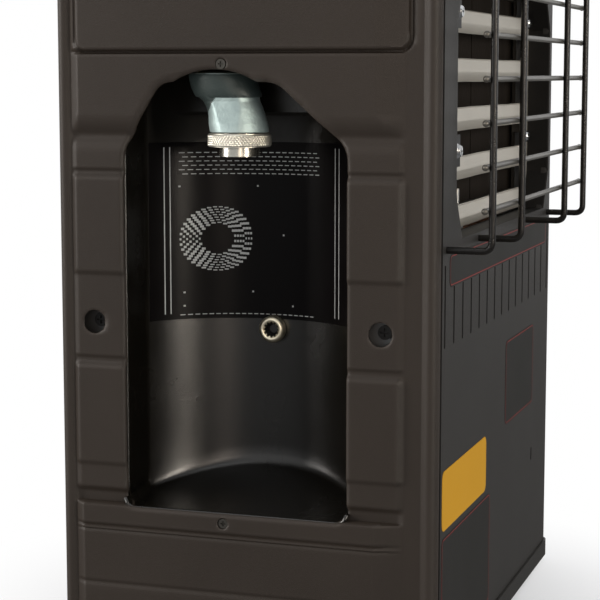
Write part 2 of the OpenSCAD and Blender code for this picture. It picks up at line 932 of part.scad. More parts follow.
// Thin blank plate on the front sheet, with round corners
module front_plate(x0, x1, z0, z1) {
    r = label_r;
    along_y(y_front - label_d, y_front) {
        translate([x0 + r, z0])
            square([x1 - x0 - 2 * r, z1 - z0]);
        translate([x0, z0 + r])
            square([x1 - x0, z1 - z0 - 2 * r]);
        for (x = [x0 + r, x1 - r], z = [z0 + r, z1 - r])
            translate([x, z])
                circle(r = r);
    }
}

module front_label_plate() {
    color("#4a4a48")
    front_plate(strip_x0, strip_x1, open_z0 - label_strip_h, guard_zs[0] - upright_d / 2 - 1);
}

module front_label_yellow() {
    color("#e2b53c")
    front_plate(label_x0, label_x0 + yellow_w, yellow_z0, yellow_z0 + yellow_h);
}

module front_labels_grey() {
    color("#4a4a48") {
        front_plate(label_x0, label_x0 + low_label_w, yellow_z0 - 4 - low_label_h, yellow_z0 - 4);
        front_plate(right_label_x1 - right_label_w, right_label_x1, right_label_z0,
            right_label_z0 + right_label_h);
    }
}

module rear_panel() {
    color("#454543")
    difference() {
        block([x_left + sheet_edge, y_rear - sheet_t, z_deck], [x_right - sheet_edge, y_rear, z_side]);
        for (z = rear_vent_zs(), s = [-1, 1])
            translate([s * rear_vent_x, y_rear + 1, z])
                rotate([90, 90, 0])
                    linear_extrude(sheet_t + 2)
                        vent_outline(rear_vent_w, rear_vent_l);
        for (p = rear_points())
            rod_y(y_rear - sheet_t - 1, y_rear + 1, p[0], p[1], rear_screw_d + 2 * fit_gap);
    }
}

rear_vent_w = 4;
rear_vent_l = 96;
rear_vent_x = 62;
rear_vent_pitch = 12;

// Heights of the rear vents: eight rows behind the burner and five low down
function rear_vent_zs() = concat([for (i = [0:7]) z_base + 300 + i * rear_vent_pitch],
    [for (i = [0:4]) z_base + 60 + i * rear_vent_pitch]);

// Places of the rear screws in X and Z
function rear_points() = [for (s = [-1, 1], z = [z_base + 28, z_base + 215, z_side - 22])
    [s * (body_w / 2 - post_x - rear_in), z]];

module rear_screws() {
    color("#8a8a86")
    for (p = rear_points())
        difference() {
            union() {
                translate([p[0], y_rear, p[1]])
                    rotate([-90, 0, 0])
                        cylinder(h = trim_out - 0.1, d = rear_head_d);
                rod_y(y_rear - sheet_t - 3, y_rear + 0.5, p[0], p[1], rear_screw_d);
            }
            for (a = [0, 90])
                translate([p[0], y_rear + trim_out, p[1]])
                    rotate([0, a, 0])
                        cube([4.6, 2, 1], center = true);
        }
}

module reflector_box() {
    color("#5a5a58") {
        along_y(ref_y0, ref_y1)
            difference() {
                opening_outline(ref_t);
                opening_outline(0);
            }
        along_y(ref_y0, ref_y0 + ref_t)
            difference() {
                opening_outline(box_flange);
                opening_outline(ref_t / 2);
            }
        for (z = reflector_screw_zs())
            block([open_x0 - ref_t / 2, tab_y, z - tab_h / 2],
                [open_x0 + tab_l, tab_y + ref_t, z + tab_h / 2]);
    }
}

tab_y = y_front + 3;
tab_l = 20;
tab_h = 18;

module reflector_slats() {
    color("#9a968c") {
        for (i = [0:slat_n - 1])
            slat(slat_z0 + i * slat_pitch);
        for (s = [0, 1])
            along_y(ref_y1, ref_y1 + ref_t)
                intersection() {
                    opening_outline(ref_t);
                    translate([s > 0 ? open_x1 - flange_w : open_x0 - 5, open_z0 - 5])
                        square([flange_w + 5, open_h + 10]);
                }
    }
}

// One slat: an upper face and a lower face that meet in a soft ridge
module slat(z) {
    translate([open_x0 + open_cut_w + 2, 0, 0])
        rotate([90, 0, 90])
            linear_extrude(open_w - 2 * open_cut_w - 4)
                polygon([[slat_back, z + 1], [slat_back, z + slat_h], [ref_y1 - ref_t, z + slat_h],
                    [ref_y1 - ref_t - slat_ridge, z + slat_h * 0.45], [ref_y1 - ref_t, z + 1]]);
}

module reflector_screws() {
    color("#b8b8b4")
    for (z = reflector_screw_zs()) {
        pan_screw(open_x1 - flange_w / 2, ref_y1, z);
        pan_screw(open_x0 + tab_l / 2, tab_y, z);
    }
}

function reflector_screw_zs() = [open_z0 + 49, open_z1 - 20];

// Pan-head screw with a cross, its head against a sheet at y and pointing to the front
module pan_screw(x, y, z) {
    difference() {
        translate([x, y, z])
            rotate([90, 0, 0])
                cylinder(h = pan_h, d1 = pan_d, d2 = pan_d * 0.62);
        for (a = [0, 90])
            translate([x, y - pan_h, z])
                rotate([0, a, 0])
                    cube([4.6, 3, 1.1], center = true);
    }
}

module burner_plaques() {
    color("#c9bda6")
    for (s = [-1, 1])
        block([s < 0 ? house_x0 + house_t + 0.5 : house_xc + 1, plaque_y0, house_z0 + house_t + 0.3],
            [s < 0 ? house_xc - 1 : house_x1 - house_t - 0.5, plaque_y0 + plaque_t,
                house_z1 - house_t - 0.3]);
}

house_xc = (house_x0 + house_x1) / 2;

module burner_housing() {
    color("#77777a") {
        difference() {
            block([house_x0, house_y0, house_z0], [house_x1, house_y1, house_z1]);
            block([house_x0 + house_t, house_y0 - 1, house_z0 + house_t],
                [house_x1 - house_t, plaque_y0 + plaque_t, house_z1 - house_t]);
            block([house_x0 + house_t, plaque_y0, house_z0 + house_rim],
                [house_x1 - house_t, house_y1 - house_t, house_z1 - house_rim]);
            rod_y(house_y1 - 3, house_y1 + 1, branch_x, tube_z, tube_d - 2 * tube_t);
        }
        for (s = [0, 1])
            block([house_x0 + 1 + s * (house_x1 - house_x0 - lug_l - 2), ref_y1 + ref_t,
                house_z0 + 2 * lug_h],
                [house_x0 + 1 + lug_l + s * (house_x1 - house_x0 - lug_l - 2), house_y0 + 0.1,
                    house_z0 + 3 * lug_h]);
    }
}

module mixing_tube() {
    color("#8d8f90")
    difference() {
        union() {
            rod_x(tube_x0, tube_x1, tube_y, tube_z, tube_d);
            rod_y(house_y1, tube_y, branch_x, tube_z, tube_d);
        }
        rod_x(tube_x0 + 2, tube_x1 - 2, tube_y, tube_z, tube_d - 2 * tube_t);
        rod_y(house_y1 - 1, tube_y, branch_x, tube_z, tube_d - 2 * tube_t);
        rod_x(tube_x1 - 3, tube_x1 + 1, tube_y, tube_z, jet_d);
        for (s = [-1, 1])
            translate([tube_x1 - 16, tube_y + s * tube_d / 2, tube_z])
                cube([14, 8, 9], center = true);
    }
}

module gas_jet() {
    color("#b59a4a")
    difference() {
        union() {
            rod_x(tube_x1 - 10, tube_x1, tube_y, tube_z, jet_d);
            translate([tube_x1, tube_y, tube_z])
                rotate([0, 90, 0])
                    cylinder(h = 8, d = 15, $fn = 6);
        }
        rod_x(tube_x1 - 11, tube_x1 - 4, tube_y, tube_z, jet_bore);
        rod_x(tube_x1 - 5, tube_x1 + 9, tube_y, tube_z, pipe_d - 2);
    }
}

module pilot_burner() {
    color("#b0ada2")
    difference() {
        union() {
            rod_z(pilot_z - pilot_h, pilot_z + 6, pilot_x, pilot_y, 7);
            rod_x(pilot_x - pilot_h, pilot_x, pilot_y, pilot_z - 2, 4);
            block([pilot_x - shelf_l / 2, pilot_y - 2.5, pilot_z - pilot_h - shelf_t],
                [pilot_x + shelf_l / 2, pilot_y + 3, pilot_z - pilot_h]);
            block([pilot_x + 4, pilot_y + 1, open_z0 - 11], [pilot_x + 9, pilot_y + 3, pilot_z - pilot_h]);
            block([pilot_x - shelf_l / 2, y_front + sheet_t, open_z0 - 12],
                [pilot_x + shelf_l / 2, pilot_y + 3, open_z0 - 10]);
        }
        rod_z(pilot_z - shelf_l / 2, pilot_z, pilot_x - spark_off, pilot_y, lead_d);
        rod_z(pilot_z - shelf_l / 2, pilot_z, pilot_x + probe_off, pilot_y, probe_d);
    }
}

low_z = open_z0 - 6;
lead_d = 3;
probe_d = 2.6;
pilot_h = 12;
shelf_l = 40;
shelf_t = 4;
spark_off = 16;
probe_off = 14;

module thermocouple() {
    color("#a8703c")
    pipe([[pilot_x + probe_off, pilot_y, pilot_z + 8], [pilot_x + probe_off, pilot_y, low_z],
        [kx + probe_off, pilot_y, low_z], [kx + probe_off, riser_y, low_z],
            [kx + probe_off, riser_y, valve_z0]], probe_d);
}

module spark_electrode() {
    color("#d8d4ca")
    pipe([[pilot_x - spark_off, pilot_y, pilot_z + 5], [pilot_x - spark_off, pilot_y, low_z],
        [pilot_x - spark_off, lead_row, low_z], [0, lead_row, low_z], [0, by, low_z],
        [kx, by, low_z], [kx, by, igniter_z0]], lead_d);
}

module pilot_pipe() {
    color("#a8703c")
    pipe([[pilot_x, pilot_y, pilot_z - pilot_h - shelf_t], [pilot_x, pilot_y, low_z],
        [pilot_x, pilot_row, low_z],
        [kx + 6, pilot_row, low_z], [kx + 6, riser_y, low_z], [kx + 6, riser_y, valve_z0]], 4);
}

module burner_pipe() {
    color("#a8703c")
    pipe([[kx + valve_w / 2, tube_y, gas_z], [drop_x, tube_y, gas_z],
        [drop_x, tube_y, tube_z], [tube_x1 + 8, tube_y, tube_z]], pipe_d);
}

module inlet_pipe() {
    color("#a8703c")
    pipe([[sx, pipe_y, rz + elbow_s / 2], [sx, pipe_y, pipe_z],
        [inlet_x, pipe_y, pipe_z], [inlet_x, ky + pipe_d, pipe_z],
        [kx - valve_w / 2, ky + pipe_d, pipe_z]], pipe_d);
}

module guard_uprights() {
    color("#24211f")
    for (x = guard_xs)
        upright(x);
}

// One upright: two legs into the sheet, two bends and the straight wire between them
module upright(x) {
    y = y_front - guard_off;
    z0 = guard_zs[0];
    z1 = guard_zs[1];
    rod_z(z0 + guard_bend, z1 - guard_bend, x, y, upright_d);
    for (z = [z0, z1]) {
        rod_y(y + guard_bend, y_front + sheet_t, x, z, upright_d);
        s = z == z0 ? 1 : -1;
        translate([x, y + guard_bend, z + s * guard_bend])
            rotate([0, 90, 0])
                rotate([0, 0, s > 0 ? -90 : 180])
                    rotate_extrude(angle = 90)
                        translate([guard_bend, 0])
                            circle(d = upright_d, $fn = 32);
    }
}

cross_y = y_front - guard_off + (upright_d + cross_d) / 2;

module guard_crossbars() {
    color("#2a2724")
    for (i = [0:cross_n - 1]) {
        z = z_base + cross_z + i * cross_pitch;
        rod_x(guard_xs[0] - cross_over, guard_xs[3] + cross_over, cross_y, z, cross_d);
        for (x = [guard_xs[0] - cross_over, guard_xs[3] + cross_over])
            translate([x, cross_y, z])
                sphere(d = cross_d + cross_bead, $fn = 24);
    }
}

module regulator_body() {
    color("#7f9193")
    difference() {
        union() {
            hull() {
                translate([rx, ry, neck_z])
                    cylinder(h = 1, d = ring_d - 1.6, $fn = 32);
                translate([rx, ry + 2, cap_z - 6])
                    cylinder(h = 1, d = waist_d, $fn = 32);
            }
            hull() {
                translate([rx, ry + 4, cap_z - 9])
                    cylinder(h = 1, d = waist_d - 3, $fn = 32);
                translate([rx, cap_y, cap_z - 1])
                    cylinder(h = cap_h, d = cap_d, $fn = 32);
            }
            rod_z(cap_z + 1, rz, stalk_x, cap_y, stalk_d);
            rod_y(hub_y0, hub_y1, sx, rz, hub_d);
        }
        rod_y(hub_y0 - 1, hub_y1 + 1, sx, rz, swivel_d + 2 * run_gap);
        rod_z(neck_z - 1, neck_z + plug_in_h, rx, ry, plug_in_d);
    }
}

module regulator_cap() {
    color("#2b3536")
    difference() {
        translate([rx, cap_y, cap_z - 1 + cap_h])
            cylinder(h = cap_dome_h, d1 = cap_d, d2 = cap_d - 8);
        rod_z(cap_z, cap_z + 20, stalk_x, cap_y, stalk_d);
    }
}

module cylinder_socket() {
    color("#b5b5ad")
    difference() {
        union() {
            rod_z(ring_z0 - socket_out, ring_z0, rx, ry, socket_d);
            rod_z(ring_z0 - eps, neck_z, rx, ry, spigot_d);
            rod_z(neck_z - eps, neck_z + plug_in_h, rx, ry, plug_in_d);
        }
        rod_z(ring_z0 - socket_out - 1, ring_z0 + 6, rx, ry, socket_bore);
        rod_z(ring_z0 + 5, neck_z + plug_in_h + 1, rx, ry, gas_bore);
    }
}

module coupling_ring() {
    color("#cfcabb")
    difference() {
        rod_z(ring_z0 + 0.2, ring_z1, rx, ry, ring_d);
        rod_z(ring_z0 - 1, ring_z1 + 1, rx, ry, spigot_d + 2 * run_gap);
        for (a = [0:knurl_step:360 - knurl_step])
            translate([rx, ry, ring_z0 - 1])
                rotate([0, 0, a])
                    translate([ring_d / 2 + 0.3, 0, 0])
                        rotate([0, 0, 45])
                            cube([knurl_w, knurl_w, ring_h + 2]);
    }
}

module swivel_pin() {
    color("#b59a4a")
    difference() {
        union() {
            rod_y(hub_y0 - free_gap - collar_t, hub_y0 - free_gap, sx, rz, collar_d);
            rod_y(hub_y0 - free_gap - eps, pin_y1, sx, rz, swivel_d);
            rod_y(hub_y1 + free_gap, hub_y1 + free_gap + collar_t, sx, rz, collar_d);
            rod_y(ny1 - collar_t, ny1, sx, rz, collar_d);
        }
        rod_y(hub_y0, pin_y1 + 1, sx, rz, pin_bore);
    }
}

module swivel_elbow() {
    color("#b59a4a")
    difference() {
        union() {
            block([sx - elbow_s / 2, pin_y1, rz - elbow_s / 2],
                [sx + elbow_s / 2, pin_y1 + elbow_s, rz + elbow_s / 2]);
            rod_y(ny1 + liner_t, pin_y1 + 1, sx, rz, elbow_s - 1);
        }
        rod_y(ny1, pin_y1, sx, rz, swivel_d);
        rod_y(pin_y1 - 1, pin_y1 + elbow_s / 2, sx, rz, pin_bore);
    }
}

module gas_valve() {
    color("#9c9c98")
    difference() {
        union() {
            block([kx - valve_w / 2, ky - valve_d / 2, valve_z0],
                [kx + valve_w / 2, ky + valve_d / 2, valve_z1]);
            rod_z(valve_z1 - eps, z_top - roof_t, kx, ky, stem_d + 8);
        }
        rod_z(plug_z0, plug_z1 + run_gap, kx, ky, plug_d + 2 * run_gap);
        rod_z(plug_z0, z_top, kx, ky, stem_d + 1);
    }
}

module valve_plug() {
    color("#b59a4a")
    difference() {
        rod_z(plug_z0 + 0.3, plug_z1 - 0.3, kx, ky, plug_d);
        rod_z(plug_z0 + 4, plug_z1 + 1, kx, ky, stem_d + 2 * run_gap);
    }
}

module valve_stem() {
    color("#b5b5ad")
    rod_z(plug_z0 + 4.6 + knob_travel, stem_z1, kx, ky, stem_d);
}

module control_knob() {
    color("#1d1c1b")
    difference() {
        union() {
            rod_z(knob_z0, knob_z0 + knob_h - knob_step, kx, ky, knob_d);
            rod_z(knob_z0 + knob_h - knob_step - eps, knob_z0 + knob_h, kx, ky, knob_d - 5);
        }
        rod_z(knob_z0 - 1, stem_z1, kx, ky, stem_d);
        for (a = [0:flute_step:360 - flute_step])
            translate([kx, ky, 0])
                rotate([0, 0, a])
                    rod_z(knob_z0 - 1, knob_z0 + knob_h - 1, knob_d / 2 + 0.6, 0, flute_d);
        block([kx - mark_w / 2, ky - knob_d / 2, knob_z0 + knob_h - mark_w / 2],
            [kx + mark_w / 2, ky - 6, knob_z0 + knob_h + 1]);
    }
}

module control_bezel() {
    color("#8a8a86")
    difference() {
        rod_z(z_top, z_top + bezel_t, kx, ky, bezel_d);
        rod_z(z_top - 1, z_top + bezel_t + 1, kx, ky, stem_d + 10);
        for (i = [0:4])
            translate([kx, ky, z_top + bezel_t - tick_w / 2])
                rotate([0, 0, -90 + i * 45])
                    translate([knob_d / 2 + 2, -tick_w / 2, 0])
                        cube([tick_l, tick_w, tick_w]);
    }
}

module igniter_body() {
    color("#1d1c1b")
    difference() {
        union() {
            rod_z(igniter_z0, z_top - roof_t, kx, by, igniter_d);
            rod_z(z_top, z_top + 2, kx, by, igniter_d + 2 * igniter_lip);
            rod_z(z_top - roof_t - eps, z_top + eps, kx, by, igniter_d - 1);
        }
        rod_z(button_z0 - button_travel - 1, z_top + 3, kx, by, button_d + 2 * run_gap);
    }
}

button_z0 = z_top - 14;

module igniter_button() {
    color("#a02818")
    difference() {
        rod_z(button_z0, button_z1, kx, by, button_d);
        translate([kx, by, button_z1 + 22])
            sphere(d = 46);
    }
}

module tip_switch() {
    color("#202020") {
        block([kx - switch_w / 2, switch_y - switch_d / 2, z_deck],
            [kx + switch_w / 2, switch_y + switch_d / 2, z_deck + switch_h]);
        block([kx - switch_w / 2 - switch_foot, switch_y - 6, z_deck],
            [kx + switch_w / 2 + switch_foot, switch_y + 6, z_deck + 2]);
        rod_z(z_deck + switch_h - 1, z_deck + switch_h + 6, kx, switch_y, 8);
    }
}

module top_cover() {
    color("#332f2c")
    difference() {
        translate([0, 0, z_side])
            linear_extrude(top_h)
                plan(0);
        translate([0, 0, z_side - 1])
            linear_extrude(top_h + 1 - roof_t)
                plan(cover_t);
        block([grille_x0, grille_y0, z_side], [grille_x1, grille_y1, z_top + 1]);
        rod_z(z_side, z_top + 1, kx, ky, stem_d + 1.4);
        rod_z(z_side, z_top + 1, kx, by, igniter_d - 0.6);
    }
}

module top_grille() {
    color("#2a2a29")
    difference() {
        union() {
            block([grille_x0 - grille_lip, grille_y0 - grille_lip, z_top],
                [grille_x1 + grille_lip, grille_y1 + grille_lip, z_top + grille_t]);
            for (y = [grille_y0 + fit_gap, grille_y1 - 1 - fit_gap])
                block([grille_x0 + 1, y, z_top - 8], [grille_x1 - 1, y + 1, z_top + fit_gap]);
        }
        for (i = [0:grille_n - 1], j = [-1, 0, 1])
            translate([(grille_x0 + grille_x1) / 2 + (i - (grille_n - 1) / 2) * grille_pitch,
                (grille_y0 + grille_y1) / 2 + j * grille_row, z_top - 1])
                linear_extrude(4)
                    vent_outline(grille_slot_w, grille_slot_l);
    }
}

module handle_bar() {
    color("#24211f") {
        for (s = [-1, 1]) {
            rod_y(hy, hy + arm_l - bar_bend, s * hx, hz, bar_d);
            translate([s * hx, hy, hz])
                sphere(d = bar_d, $fn = 32);
            rod_x(min(s * hx, s * bar_end), max(s * hx, s * bar_end), hy, hz, bar_d);
            translate([s * (hx - bar_bend), hy + arm_l - bar_bend, hz])
                rotate([0, 0, s > 0 ? 0 : 90])
                    rotate_extrude(angle = 90)
                        translate([bar_bend, 0])
                            circle(d = bar_d, $fn = 32);
        }
        rod_x(-hx + bar_bend, hx - bar_bend, hy + arm_l, hz, bar_d);
    }
}

module handle_grip() {
    color("#1c1b1a")
    difference() {
        union() {
            rod_x(-grip_l / 2, grip_l / 2, hy + arm_l, hz, grip_d - grip_step);
            for (x = [-grip_l / 2, grip_l / 2 - grip_end])
                rod_x(x, x + grip_end, hy + arm_l, hz, grip_d);
        }
        rod_x(-grip_l / 2 - 1, grip_l / 2 + 1, hy + arm_l, hz, bar_d);
    }
}

module handle_brackets() {
    color("#24211f")
    for (s = [-1, 1])
        difference() {
            union() {
                x0 = s > 0 ? hx + bar_d / 2 + lug_gap : -hx - bar_d / 2 - lug_gap - lug_t;
                block([x0, hy - lug_d / 2, z_top], [x0 + lug_t, hy + lug_d / 2, hz]);
                rod_x(x0, x0 + lug_t, hy, hz, lug_d);
                block([x0 - (s > 0 ? 0 : lug_foot), hy - lug_foot_l / 2, z_top],
                    [x0 + lug_t + (s > 0 ? lug_foot : 0), hy + lug_foot_l / 2, z_top + 2]);
            }
            rod_x(s * hx - 20, s * hx + 20, hy, hz, bar_d + 2 * run_gap);
        }
}

base_tray();
feet();
frame_posts();
chassis_plate();
heat_shield();
niche_cover();
niche_liner();
niche_label();
niche_bolt();
cover_screws();
rail_screws();
plain_cover();
rear_panel();
front_panel();
front_label_plate();
front_label_yellow();
front_labels_grey();
reflector_box();
reflector_slats();
reflector_screws();
burner_plaques();
burner_housing();
mixing_tube();
gas_jet();
pilot_burner();
thermocouple();
spark_electrode();
guard_uprights();
guard_crossbars();
regulator_body();
regulator_cap();
coupling_ring();
cylinder_socket();
swivel_pin();
swivel_elbow();
inlet_pipe();
burner_pipe();
pilot_pipe();
gas_valve();
valve_plug();
valve_stem();
control_knob();
control_bezel();
igniter_body();
igniter_button();
tip_switch();
top_cover();
top_grille();
handle_bar();
handle_grip();
handle_brackets();
rear_screws();
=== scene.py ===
"""Portable gas heater: the finish of every surface, and the shells that need finer shape than the solids."""
import math

import bmesh
import bpy
import numpy as np
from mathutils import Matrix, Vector


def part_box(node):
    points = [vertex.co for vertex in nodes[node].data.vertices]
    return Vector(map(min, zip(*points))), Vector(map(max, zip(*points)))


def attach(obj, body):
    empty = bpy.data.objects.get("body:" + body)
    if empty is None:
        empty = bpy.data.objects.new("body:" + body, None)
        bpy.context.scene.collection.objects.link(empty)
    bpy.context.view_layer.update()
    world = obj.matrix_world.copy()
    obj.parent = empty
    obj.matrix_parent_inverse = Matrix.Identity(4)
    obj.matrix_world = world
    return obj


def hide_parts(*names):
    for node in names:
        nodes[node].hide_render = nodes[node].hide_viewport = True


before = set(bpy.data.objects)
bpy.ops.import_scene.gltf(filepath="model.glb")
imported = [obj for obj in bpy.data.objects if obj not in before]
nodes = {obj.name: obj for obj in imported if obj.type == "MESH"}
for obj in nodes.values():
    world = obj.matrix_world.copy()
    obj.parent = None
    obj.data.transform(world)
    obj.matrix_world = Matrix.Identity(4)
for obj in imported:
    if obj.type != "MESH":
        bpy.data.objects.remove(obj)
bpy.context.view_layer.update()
scene = bpy.context.scene
MM = 0.001


def box_mm(node):
    """Lowest and highest corner of a node's solids, in millimetres."""
    return [np.array(corner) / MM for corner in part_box(node)]


def turned_mm(node):
    """Lowest corner, centre, radius and height of an upright round node, in millimetres."""
    lo, hi = box_mm(node)
    return lo, (lo + hi) / 2, (hi[0] - lo[0]) / 2, hi[2] - lo[2]


# The cabinet's own places, in millimetres, read from the solids
cover_lo, cover_hi = box_mm("niche_cover")
SIDE_X = cover_lo[0]
FRONT_Y = cover_lo[1]
REAR_Y = cover_hi[1]
BASE_Z = box_mm("base_tray")[0][2]
DECK_Z = cover_lo[2]
SIDE_TOP_Z = cover_hi[2]
DEPTH = REAR_Y - FRONT_Y
CORNER_R = 10.0
WALL = 2.4
guard_lo, guard_hi = box_mm("guard_uprights")
cross_lo, cross_hi = box_mm("guard_crossbars")
box_lo, box_hi = box_mm("reflector_box")
bar_lo, bar_hi = box_mm("handle_bar")
bar_r = (bar_hi[2] - bar_lo[2]) / 2

# Guard wires, in millimetres
WIRE_R = 2.0
GUARD_BEND = 5.5
GUARD_X = (guard_lo[0] + WIRE_R, -66.0, 73.0, guard_hi[0] - WIRE_R)
CROSS_N = 6
CROSS_R = 1.6
CROSS_BALL_R = (cross_hi[1] - cross_lo[1]) / 2

# Reflector, its opening and its slats; a section's rows are (distance behind the reflector's face, height)
BOX_FLANGE = 4.0
OPEN_CUT = (15.0, 25.0)
FLANGE_W = 22.0
SHEET_T = 0.8
REFLECTOR_Y = box_hi[1]
SLAT_N = 5
SLAT_H = 13.0
SLAT_PITCH = 28.5
SLAT_Z = box_lo[2] + BOX_FLANGE + 8 - SLAT_H / 2
SLAT_X0 = box_lo[0] + BOX_FLANGE + OPEN_CUT[0] + 2
SLAT_X1 = box_hi[0] - BOX_FLANGE - OPEN_CUT[0] - 2
SLAT_SECTION = [(0.4, 1.0), (-0.2, 0.75), (-0.6, 1.2), (-1.5, SLAT_H * 0.30), (-2.1, SLAT_H * 0.43),
                (-2.15, SLAT_H * 0.47), (-1.9, SLAT_H * 0.53), (-0.9, SLAT_H - 1.2),
                (-0.75, SLAT_H - 0.5), (-0.2, SLAT_H - 0.1), (0.3, SLAT_H - 0.3)]

# Handle, moulded top and niche bolt
HANDLE_ARM_X = 132.0
HANDLE_BEND = 9
TOP_ROUND = 6.0
GRILLE_LIP = 4.0
# Radius and depth from which the niche bolt's socket is painted black: painted shade in the recess
SOCKET_SHADE_R = 4.8
SOCKET_SHADE_FROM = 1.2

# Labels on the front sheet: left, right, lower and upper side
LABEL_T = 0.2
LOW_LABEL = (-149.3, -28.7, 23.7, 90.3)
HIGH_LABEL = (14.7, 101.3, 125.7, 178.3)

# The niche in side view: distance behind the front sheet, and height above the base
NICHE_FRONT, NICHE_REAR = 52.5, 184.5
NICHE_FLOOR, NICHE_TOP = 94.0, 337.4
NICHE_MIDDLE = 118.5
CUT_FRONT, CUT_REAR = (92.9, 301.0), (160.8, 299.5)
OUTLINE_R = 7
ARCH_MIDDLE, ARCH_HALF, ARCH_RISE = 129.0, 24.5, 6.8
ARCH_BEFORE = (115, 330)

# The niche in plan: its round back wall, and the printed plate and scooped floor that follow it
NICHE_R = 76.0
NICHE_AXIS_IN = -4.0
PRINT_R = NICHE_R - 0.42
PRINT_FRAME, PRINT_RING = (176.5, 174.0, 76.0, 73.0), (150.8, 244.7)
PRINT_DOTS = [(168, 205), (168, 213), (131, 213), (128, 276), (170, 276), (112, 247), (106, 205)]
SHELL_T = 2.0
SHELL_TOP = 356.0
SIDE_WALL_FROM = 6.4
FLOOR_FROM = 2.0
SCOOP_RISE, SCOOP_REACH = 16.0, 72.0
FILLET = 5.0
BLOCK_IN, BLOCK_UNDER, BLOCK_BEVEL = 48, 318.0, 2.0

# Regulator casting over its height above the base: how far it leans to the rear, its radius, how much of its
# front is planed flat and how far it flares to the rear; and the dome on it, as (radius, height)
CAST_HEIGHT = [309.0, 309.6, 314, 319, 323, 326.5, 328.6, 329.0, 330.5, 334, 338, 340.6, 341.6]
CAST_LEAN = [0, 0, 0.7, 1.6, 2.4, 3.6, 4.7, 5.0, 5.7, 7.4, 9.3, 10.4, 10.7]
CAST_RADIUS = [15.6, 16.7, 16.7, 16.0, 15.4, 15.0, 15.6, 17.4, 18.0, 18.4, 18.8, 19.0, 18.6]
CAST_FINE = 0.4
CAST_PLANED = [(309, 314, 328.6, 329.2), (0.0, 0.35, 1.0, 0.0)]
CAST_FLARE = [(318.5, 323, 328.8, 334, 341.6), (0.0, 1.0, 3.4, 2.8, 0.6)]
DOME = [(18.4, 0), (18.2, 0.5), (17.6, 0.9), (15.8, 1.3), (12, 1.9), (7, 2.3), (0.05, 2.5)]
SIDE_LEAN = 0.14
CAP_DEPTH = 0.86
CAP_FROM = 328.8
CAP_TOP = 342.2
# Where the cap paint's lower border starts to slant down the rear of the neck, and how steeply: painted shade
# under the cap's flare
CAP_SHADE_REAR = 21.0
CAP_SHADE_SLANT = 1.4
DOME_LEAN = 10.8

# Relief of the moulded sides. A rail's or panel's form: how far it lies in, where it starts and ends, and how
# soft its edges are. A facet: its outer edge, its inner edge and how far the inner edge widens upwards.
RAIL_IN = 3.2
RAIL_FORMS = [(-1.3, 229, 284, 1.6), (-1.3, 118, 175.5, 1.6), (0.9, 285.2, 288.2, 0.9),
              (0.9, 176.8, 180.6, 0.9), (2.6, 90, 102.6, 2.0)]
BAND_FROM, BAND_TO = 306.5, 319.5
LEDGE = (94.2, 95.2)
PANEL_GROOVES = [(81.6, 82.6), (78.4, 79.4)]
PANEL_FALLS = [(0.55, 77.5, 78.5), (0.9, 47.8, 49.4), (-0.6, 45, 47.5)]
BAND_IN, BAND_RISE, BAND_GROOVE = 0.9, (1.5, 354.6, 356.2), (1.6, 353.0, 354.6)
FACET_FRONT, FACET_REAR = (19.6, 23.2, 12.6), (217.4, 213.6, 2.4)
WIDEN_FROM, WIDEN_OVER = 306.0, 14.0
COVE_IN, COVE_END, SLOPE_COVE = 2.6, 217, (304.5, 310.0, 5.0)
COLUMN_IN = 4.6
PAD_FRONT, PAD_REAR, PAD_LOW, PAD_R = 17.6, 211.4, 355.0, 6.0
PAD_AREA = 340
PAD_PROUD, PAD_FALL, PAD_FACET = -0.6, 4.0, 36.0
PAD_LINE = (1.3, 0.9)
PLAIN_FIELD = (19, 212, 46, 355)
PLAIN_RIB, RIB_PITCH, RIB_N = (41, 190, 120, 132), 36, 5
LIP_TURN = 14
LIP_REACH = (5.5, 3.0)
SCREW_WELLS = [((33.0, 200.5), 6.7), ((203.7, 200.5), 6.7)]
COVER_SCREWS = [((124.4, 347.2), 3.0), ((124.6, 88.4), 3.0)]
RIM_ROUND, HOLE_ROUND = 2.4, 0.7
MARKS_S = [PAD_FRONT, *FACET_FRONT[:2], 33, 36, NICHE_FRONT, 121.6, 124.5, 127.4, NICHE_REAR, 203.7, PAD_REAR,
           *FACET_REAR[:2]]
MARKS_Z = [1, 47, 49, 79, 82, 85.5, 88.4, 91.3, 94, 102, 117, 175, 179, 182, 195, 206, 223, 228, 285, 288,
           306, 320, 344, 347, 350, 355]

# The photograph's camera: image size and focal length in pixels, place in millimetres
IMAGE = 600
FOCAL_PX = 1797.5
CAMERA_MM = (-1093.1, -333.25, 347.0)
CAMERA_AHEAD = (0.9484, 0.3171)
CAMERA_DOWN = math.radians(7.184)
SENSOR_MM = 36.0

# Studio: reach of the floor in millimetres, corners of the grey side card, and the lamps in metres and watts:
# name, place, target, size, power, colour, and whether only reflections see the lamp
FAR = 4000
CARD_PLAN = [(-FAR, -900), (-2800, -3600), (4200, -2600)]
CARD_UNDER = -3
WHITE = (1, 1, 1)
BODY = (0, 0, 0.25)
LAMPS = [
    ("key", (-1.6, -2.75, 1.0), BODY, (0.6, 1.7), 34, (1.0, 0.95, 0.88), False),
    ("sheen", (-1.7, -2.7, 0.7), BODY, (0.25, 1.7), 48, (1.0, 0.87, 0.72), True),
    ("glow", (-2.9, -1.25, 0.75), BODY, (0.9, 1.7), 24, (1.0, 0.86, 0.74), True),
    ("side", (-1.5, 2.8, 1.0), (-0.1, 0.1, 0.25), (1.2, 1.8), 100, (1.0, 0.95, 0.9), False),
    ("front", (0.9, -2.6, 1.0), BODY, (1.2, 1.8), 24, WHITE, False),
    ("top", (-0.2, 0.2, 2.8), (0, 0, 0.4), (1.8, 1.8), 22, WHITE, False),
]


def placed(name, data, place, ahead):
    """Camera or lamp at a place in metres, looking along a direction."""
    obj = bpy.data.objects.new(name, data)
    scene.collection.objects.link(obj)
    obj.location = place
    obj.rotation_mode = "QUATERNION"
    obj.rotation_quaternion = ahead.to_track_quat("-Z", "Y")
    return obj


